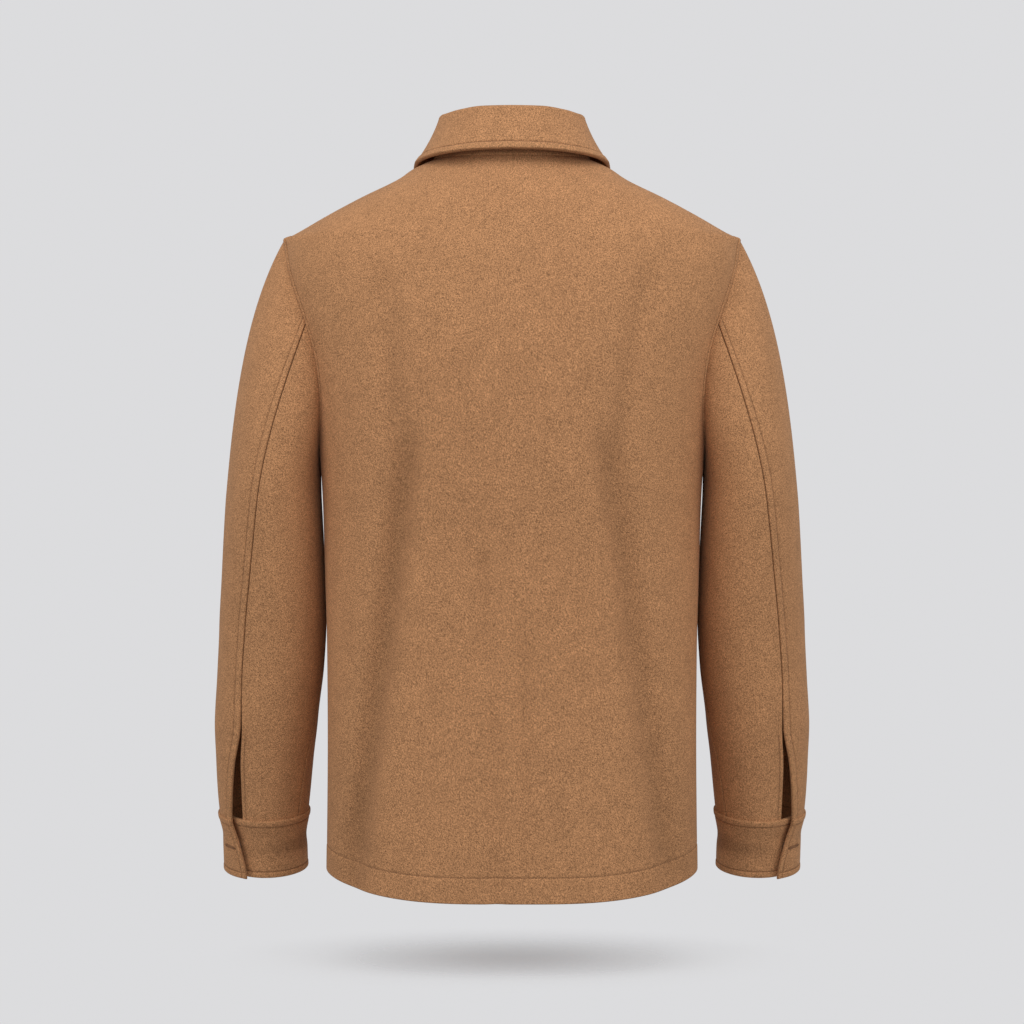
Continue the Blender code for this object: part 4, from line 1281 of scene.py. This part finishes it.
def turned_button(name, radius, thickness, place, facing):
    """A dished, four-holed button sewn on at this place, its face this way."""
    bm = bmesh.new()
    dish, spacing = thickness * 0.66, radius * 0.27
    profile = (
        (0.60, dish), (0.66, dish + 0.0001), (0.73, thickness * 0.93), (0.79, thickness),
        (0.88, thickness), (0.95, thickness * 0.88), (1.0, thickness * 0.58),
        (0.99, thickness * 0.30), (0.93, thickness * 0.08), (0.86, 0.0),
    )
    points = [bm.verts.new((radius * x, 0, z)) for x, z in profile]
    for first, second in zip(points, points[1:]):
        bm.edges.new((first, second))
    bmesh.ops.spin(
        bm, geom=bm.verts[:] + bm.edges[:], cent=(0, 0, 0), axis=(0, 0, 1),
        angle=2 * pi, steps=40, use_merge=True,
    )
    bmesh.ops.remove_doubles(bm, verts=bm.verts[:], dist=0.00001)
    centres = [Vector((x * spacing, y * spacing, 0)) for x in (-1, 1) for y in (-1, 1)]
    for level, edge_radius in ((dish, 0.60 * radius), (0.0, 0.86 * radius)):
        rim = [edge for edge in bm.edges if all(
            abs(vert.co.z - level) < SAME_PLACE
            and abs(vert.co.xy.length - edge_radius) < SAME_PLACE for vert in edge.verts)]
        for centre in centres:
            rim += ring_of_edges(bm, centre + Vector((0, 0, level)), HOLE_RADIUS, 12)
        bmesh.ops.triangle_fill(bm, edges=rim, use_beauty=True)
    for centre in centres:
        sides = [edge for edge in bm.edges if len(edge.link_faces) == 1 and all(
            (vert.co.xy - centre.xy).length < HOLE_RADIUS * 1.01 for vert in edge.verts)]
        bmesh.ops.bridge_loops(bm, edges=sides)
    bmesh.ops.recalc_face_normals(bm, faces=bm.faces[:])
    sewn_on = Matrix.Translation(place) @ facing.to_track_quat("Z", "Y").to_matrix().to_4x4()
    bmesh.ops.transform(bm, matrix=sewn_on, verts=bm.verts[:])
    button = object_of(name, bm)
    button.data.set_sharp_from_angle(angle=radians(35))
    button.data.materials.append(horn)
    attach(button, "root")
    strands = [
        [(sewn_on @ Vector((x * spacing + shift, y * spacing, dish + 0.00005)), facing)
         for y in (-1.25, 1.25)]
        for x in (-1, 1) for shift in (-0.0004, 0.0, 0.0004)
    ]
    stitches(name + "_thread", strands, length=2.9 * spacing, radius=0.00026)
    return button


def buttonhole(name, middle, normal, along, length, width=0.0030):
    """A worked buttonhole: close stitches over both edges of the slit and a bar at each end."""
    across = normal.cross(along).normalized()
    lines = []
    count = int(length / 0.0006)
    for i in range(count + 1):
        run = along * ((i / count - 0.5) * length)
        for way in (-1, 1):
            start = middle + run + across * (way * 0.00030)
            end = middle + run + across * (way * 0.5 * width)
            lines.append([(start, normal), (end, normal)])
    for way in (-1, 1):
        for k in range(3):
            run = along * (way * (0.5 * length + 0.0003 + 0.0005 * k))
            lines.append([(middle + run - across * 0.5 * width, normal),
                          (middle + run + across * 0.5 * width, normal)])
    return stitches(name, lines, length=0.0015, radius=0.00029)


horn, tree, shader = material_of("dark_horn", {
    "Roughness": 0.28, "Coat Weight": 0.25, "Coat Roughness": 0.15,
})
place = node(tree, "TexCoord").outputs["Object"]
drawn = node(tree, "Mapping", scale=(1.0, 1.0, 0.22), rotation=(0.0, 0.5, 0.0), vector=place)
streaks = noise(
    tree, drawn.outputs["Vector"], scale=420.0, detail=3.0, roughness=0.6, distortion=1.2,
)
shades = node(tree, "ValToRGB", fac=streaks)
dark, light = shades.color_ramp.elements
dark.position, light.position = 0.34, 0.68
dark.color = (0.022, 0.011, 0.006, 1.0)
light.color = (0.150, 0.072, 0.034, 1.0)
polish = ranged(tree, streaks, to_min=0.22, to_max=0.38)
tree.links.new(shades.outputs["Color"], shader.inputs["Base Color"])
tree.links.new(polish, shader.inputs["Roughness"])

level = Vector((1, 0, 0))
stand_middle = stand_point(1.0, 0.5)
stand_facing = level.cross(stand_point(1.0, 0.7) - stand_point(1.0, 0.3)).normalized()
front_buttons = [(stand_middle, stand_facing, level, level * SLIT_SHIFT)]
for number in range(6):
    height = FIRST_BUTTON - BUTTON_PITCH * number
    on_front = torso_point(1, -pi / 2, height)
    upright = (torso_point(1, -pi / 2, height + 0.01) - on_front).normalized()
    front_buttons.append((
        on_front, torso_normal(1, -pi / 2, height), upright, upright * -SLIT_SHIFT,
    ))
for number, (middle, facing, slit, shift) in enumerate(front_buttons, start=1):
    button = turned_button(
        f"button_{number}_horn", BUTTON_RADIUS, BUTTON_THICKNESS,
        middle + facing * BUTTON_LIFT, facing,
    )
    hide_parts(f"button_{number}")
    hole = middle + shift + facing * SLIT_LIFT
    buttonhole(f"buttonhole_{number}", hole, facing, slit, SLIT_LENGTH)


def cuff_place(angle, side):
    """A point halfway down the cuff, the way its cloth faces, and the way round the wrist."""
    drop = 0.5 * CUFF_HEIGHT
    half_swung = CUFF_OVER_END + 0.5 * CUFF_OVER_SWING
    share = (angle - CUFF_UNDER_END) / (half_swung - CUFF_UNDER_END)
    middle = cuff_point(share, drop)
    way_round = (cuff_point(share + 0.004, drop) - cuff_point(share - 0.004, drop)).normalized()
    down = cuff_point(share, drop + 0.002) - cuff_point(share, drop - 0.002)
    facing = way_round.cross(down).normalized()
    ring = sleeve_ring(SLEEVE_END)
    if facing.dot(middle - Vector((ring.centre_x, ring.centre_y, middle.z))) < 0:
        facing = -facing
    return [mirrored(vector, side) for vector in (middle, facing, way_round)]


for side, label in ((1, "left"), (-1, "right")):
    middle, facing, _ = cuff_place(CUFF_BUTTON_ANGLE, side)
    button = turned_button(
        f"cuff_button_{label}_horn", CUFF_BUTTON_RADIUS, CUFF_BUTTON_THICKNESS,
        middle + facing * CUFF_BUTTON_LIFT, facing,
    )
    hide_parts(f"cuff_button_{label}")
    middle, facing, slit = cuff_place(CUFF_HOLE_ANGLE, side)
    hole = middle + facing * SLIT_LIFT
    buttonhole(f"cuff_buttonhole_{label}", hole, facing, slit, CUFF_SLIT_LENGTH)


# ------------------------------------------------------------------------------ studio
# A pale floor that fades into an even pale surround, a broad soft light overhead and one on
# each side, and the camera level with the middle of the back.
CAMERA_HEIGHT = -0.352
CAMERA_DISTANCE = 2.4
CAMERA_LENS = 82.4
FLOOR_HEIGHT = -0.812
PALE = (0.715, 0.715, 0.728)
SURROUND_LIGHT = 0.52

bm = bmesh.new()
bmesh.ops.create_circle(bm, cap_ends=True, segments=96, radius=5.0)
bmesh.ops.translate(bm, vec=(0.0, 0.0, FLOOR_HEIGHT), verts=bm.verts[:])
floor = object_of("floor", bm)

paper, tree, matt = material_of("pale_floor", {
    "Roughness": 0.9, "Specular IOR Level": 0.0, "Base Color": (0.92, 0.92, 0.92, 1.0),
})
place = node(tree, "TexCoord").outputs["Object"]
middle = node(tree, "VectorMath", operation="ADD", first=place, second=(0.0, 0.02, 0.0))
widened = node(
    tree, "VectorMath", operation="MULTIPLY", first=middle.outputs["Vector"], second=(3.1, 5.3, 0.0),
)
across = node(tree, "VectorMath", operation="LENGTH", first=widened.outputs["Vector"])
fading = ranged(tree, across.outputs["Value"], interpolation_type="SMOOTHSTEP", to_min=0.48)
clear = node(tree, "BsdfTransparent")
blend = node(
    tree, "MixShader", fac=fading, second=matt.outputs["BSDF"], third=clear.outputs["BSDF"],
)
tree.links.new(blend.outputs["Shader"], tree.nodes["Material Output"].inputs["Surface"])
floor.data.materials.append(paper)

studio = bpy.data.worlds.new("studio")
studio.use_nodes = True
tree = studio.node_tree
surround = tree.nodes["Background"]
surround.inputs["Color"].default_value = (*PALE, 1.0)
seen = node(tree, "LightPath").outputs["Is Camera Ray"]
strength = ranged(tree, seen, to_min=SURROUND_LIGHT, to_max=1.0)
tree.links.new(strength, surround.inputs["Strength"])
bpy.context.scene.world = studio
bpy.context.scene.view_settings.view_transform = "Standard"


def soft_light(name, place, target, size, watts):
    lamp = bpy.data.lights.new(name, "AREA")
    lamp.shape = "RECTANGLE"
    lamp.size, lamp.size_y = size
    lamp.energy = watts
    made = bpy.data.objects.new(name, lamp)
    made.location = place
    made.rotation_euler = (Vector(target) - Vector(place)).to_track_quat("-Z", "Y").to_euler()
    bpy.context.scene.collection.objects.link(made)


soft_light("overhead_soft_light", (0.0, 1.4, 1.9), (0.0, 0.0, -0.3), (2.2, 1.4), 27.0)
for x, label in ((2.4, "left"), (-2.4, "right")):
    soft_light(f"{label}_soft_light", (x, 1.6, 0.6), (0.0, 0.0, -0.35), (1.4, 1.8), 17.0)

lens = bpy.data.cameras.new("camera")
lens.sensor_width = 36.0
lens.lens = CAMERA_LENS
camera = bpy.data.objects.new("camera", lens)
camera.location = (0.0, CAMERA_DISTANCE, CAMERA_HEIGHT)
camera.rotation_euler = (pi / 2, 0.0, pi)
bpy.context.scene.collection.objects.link(camera)
bpy.context.scene.camera = camera
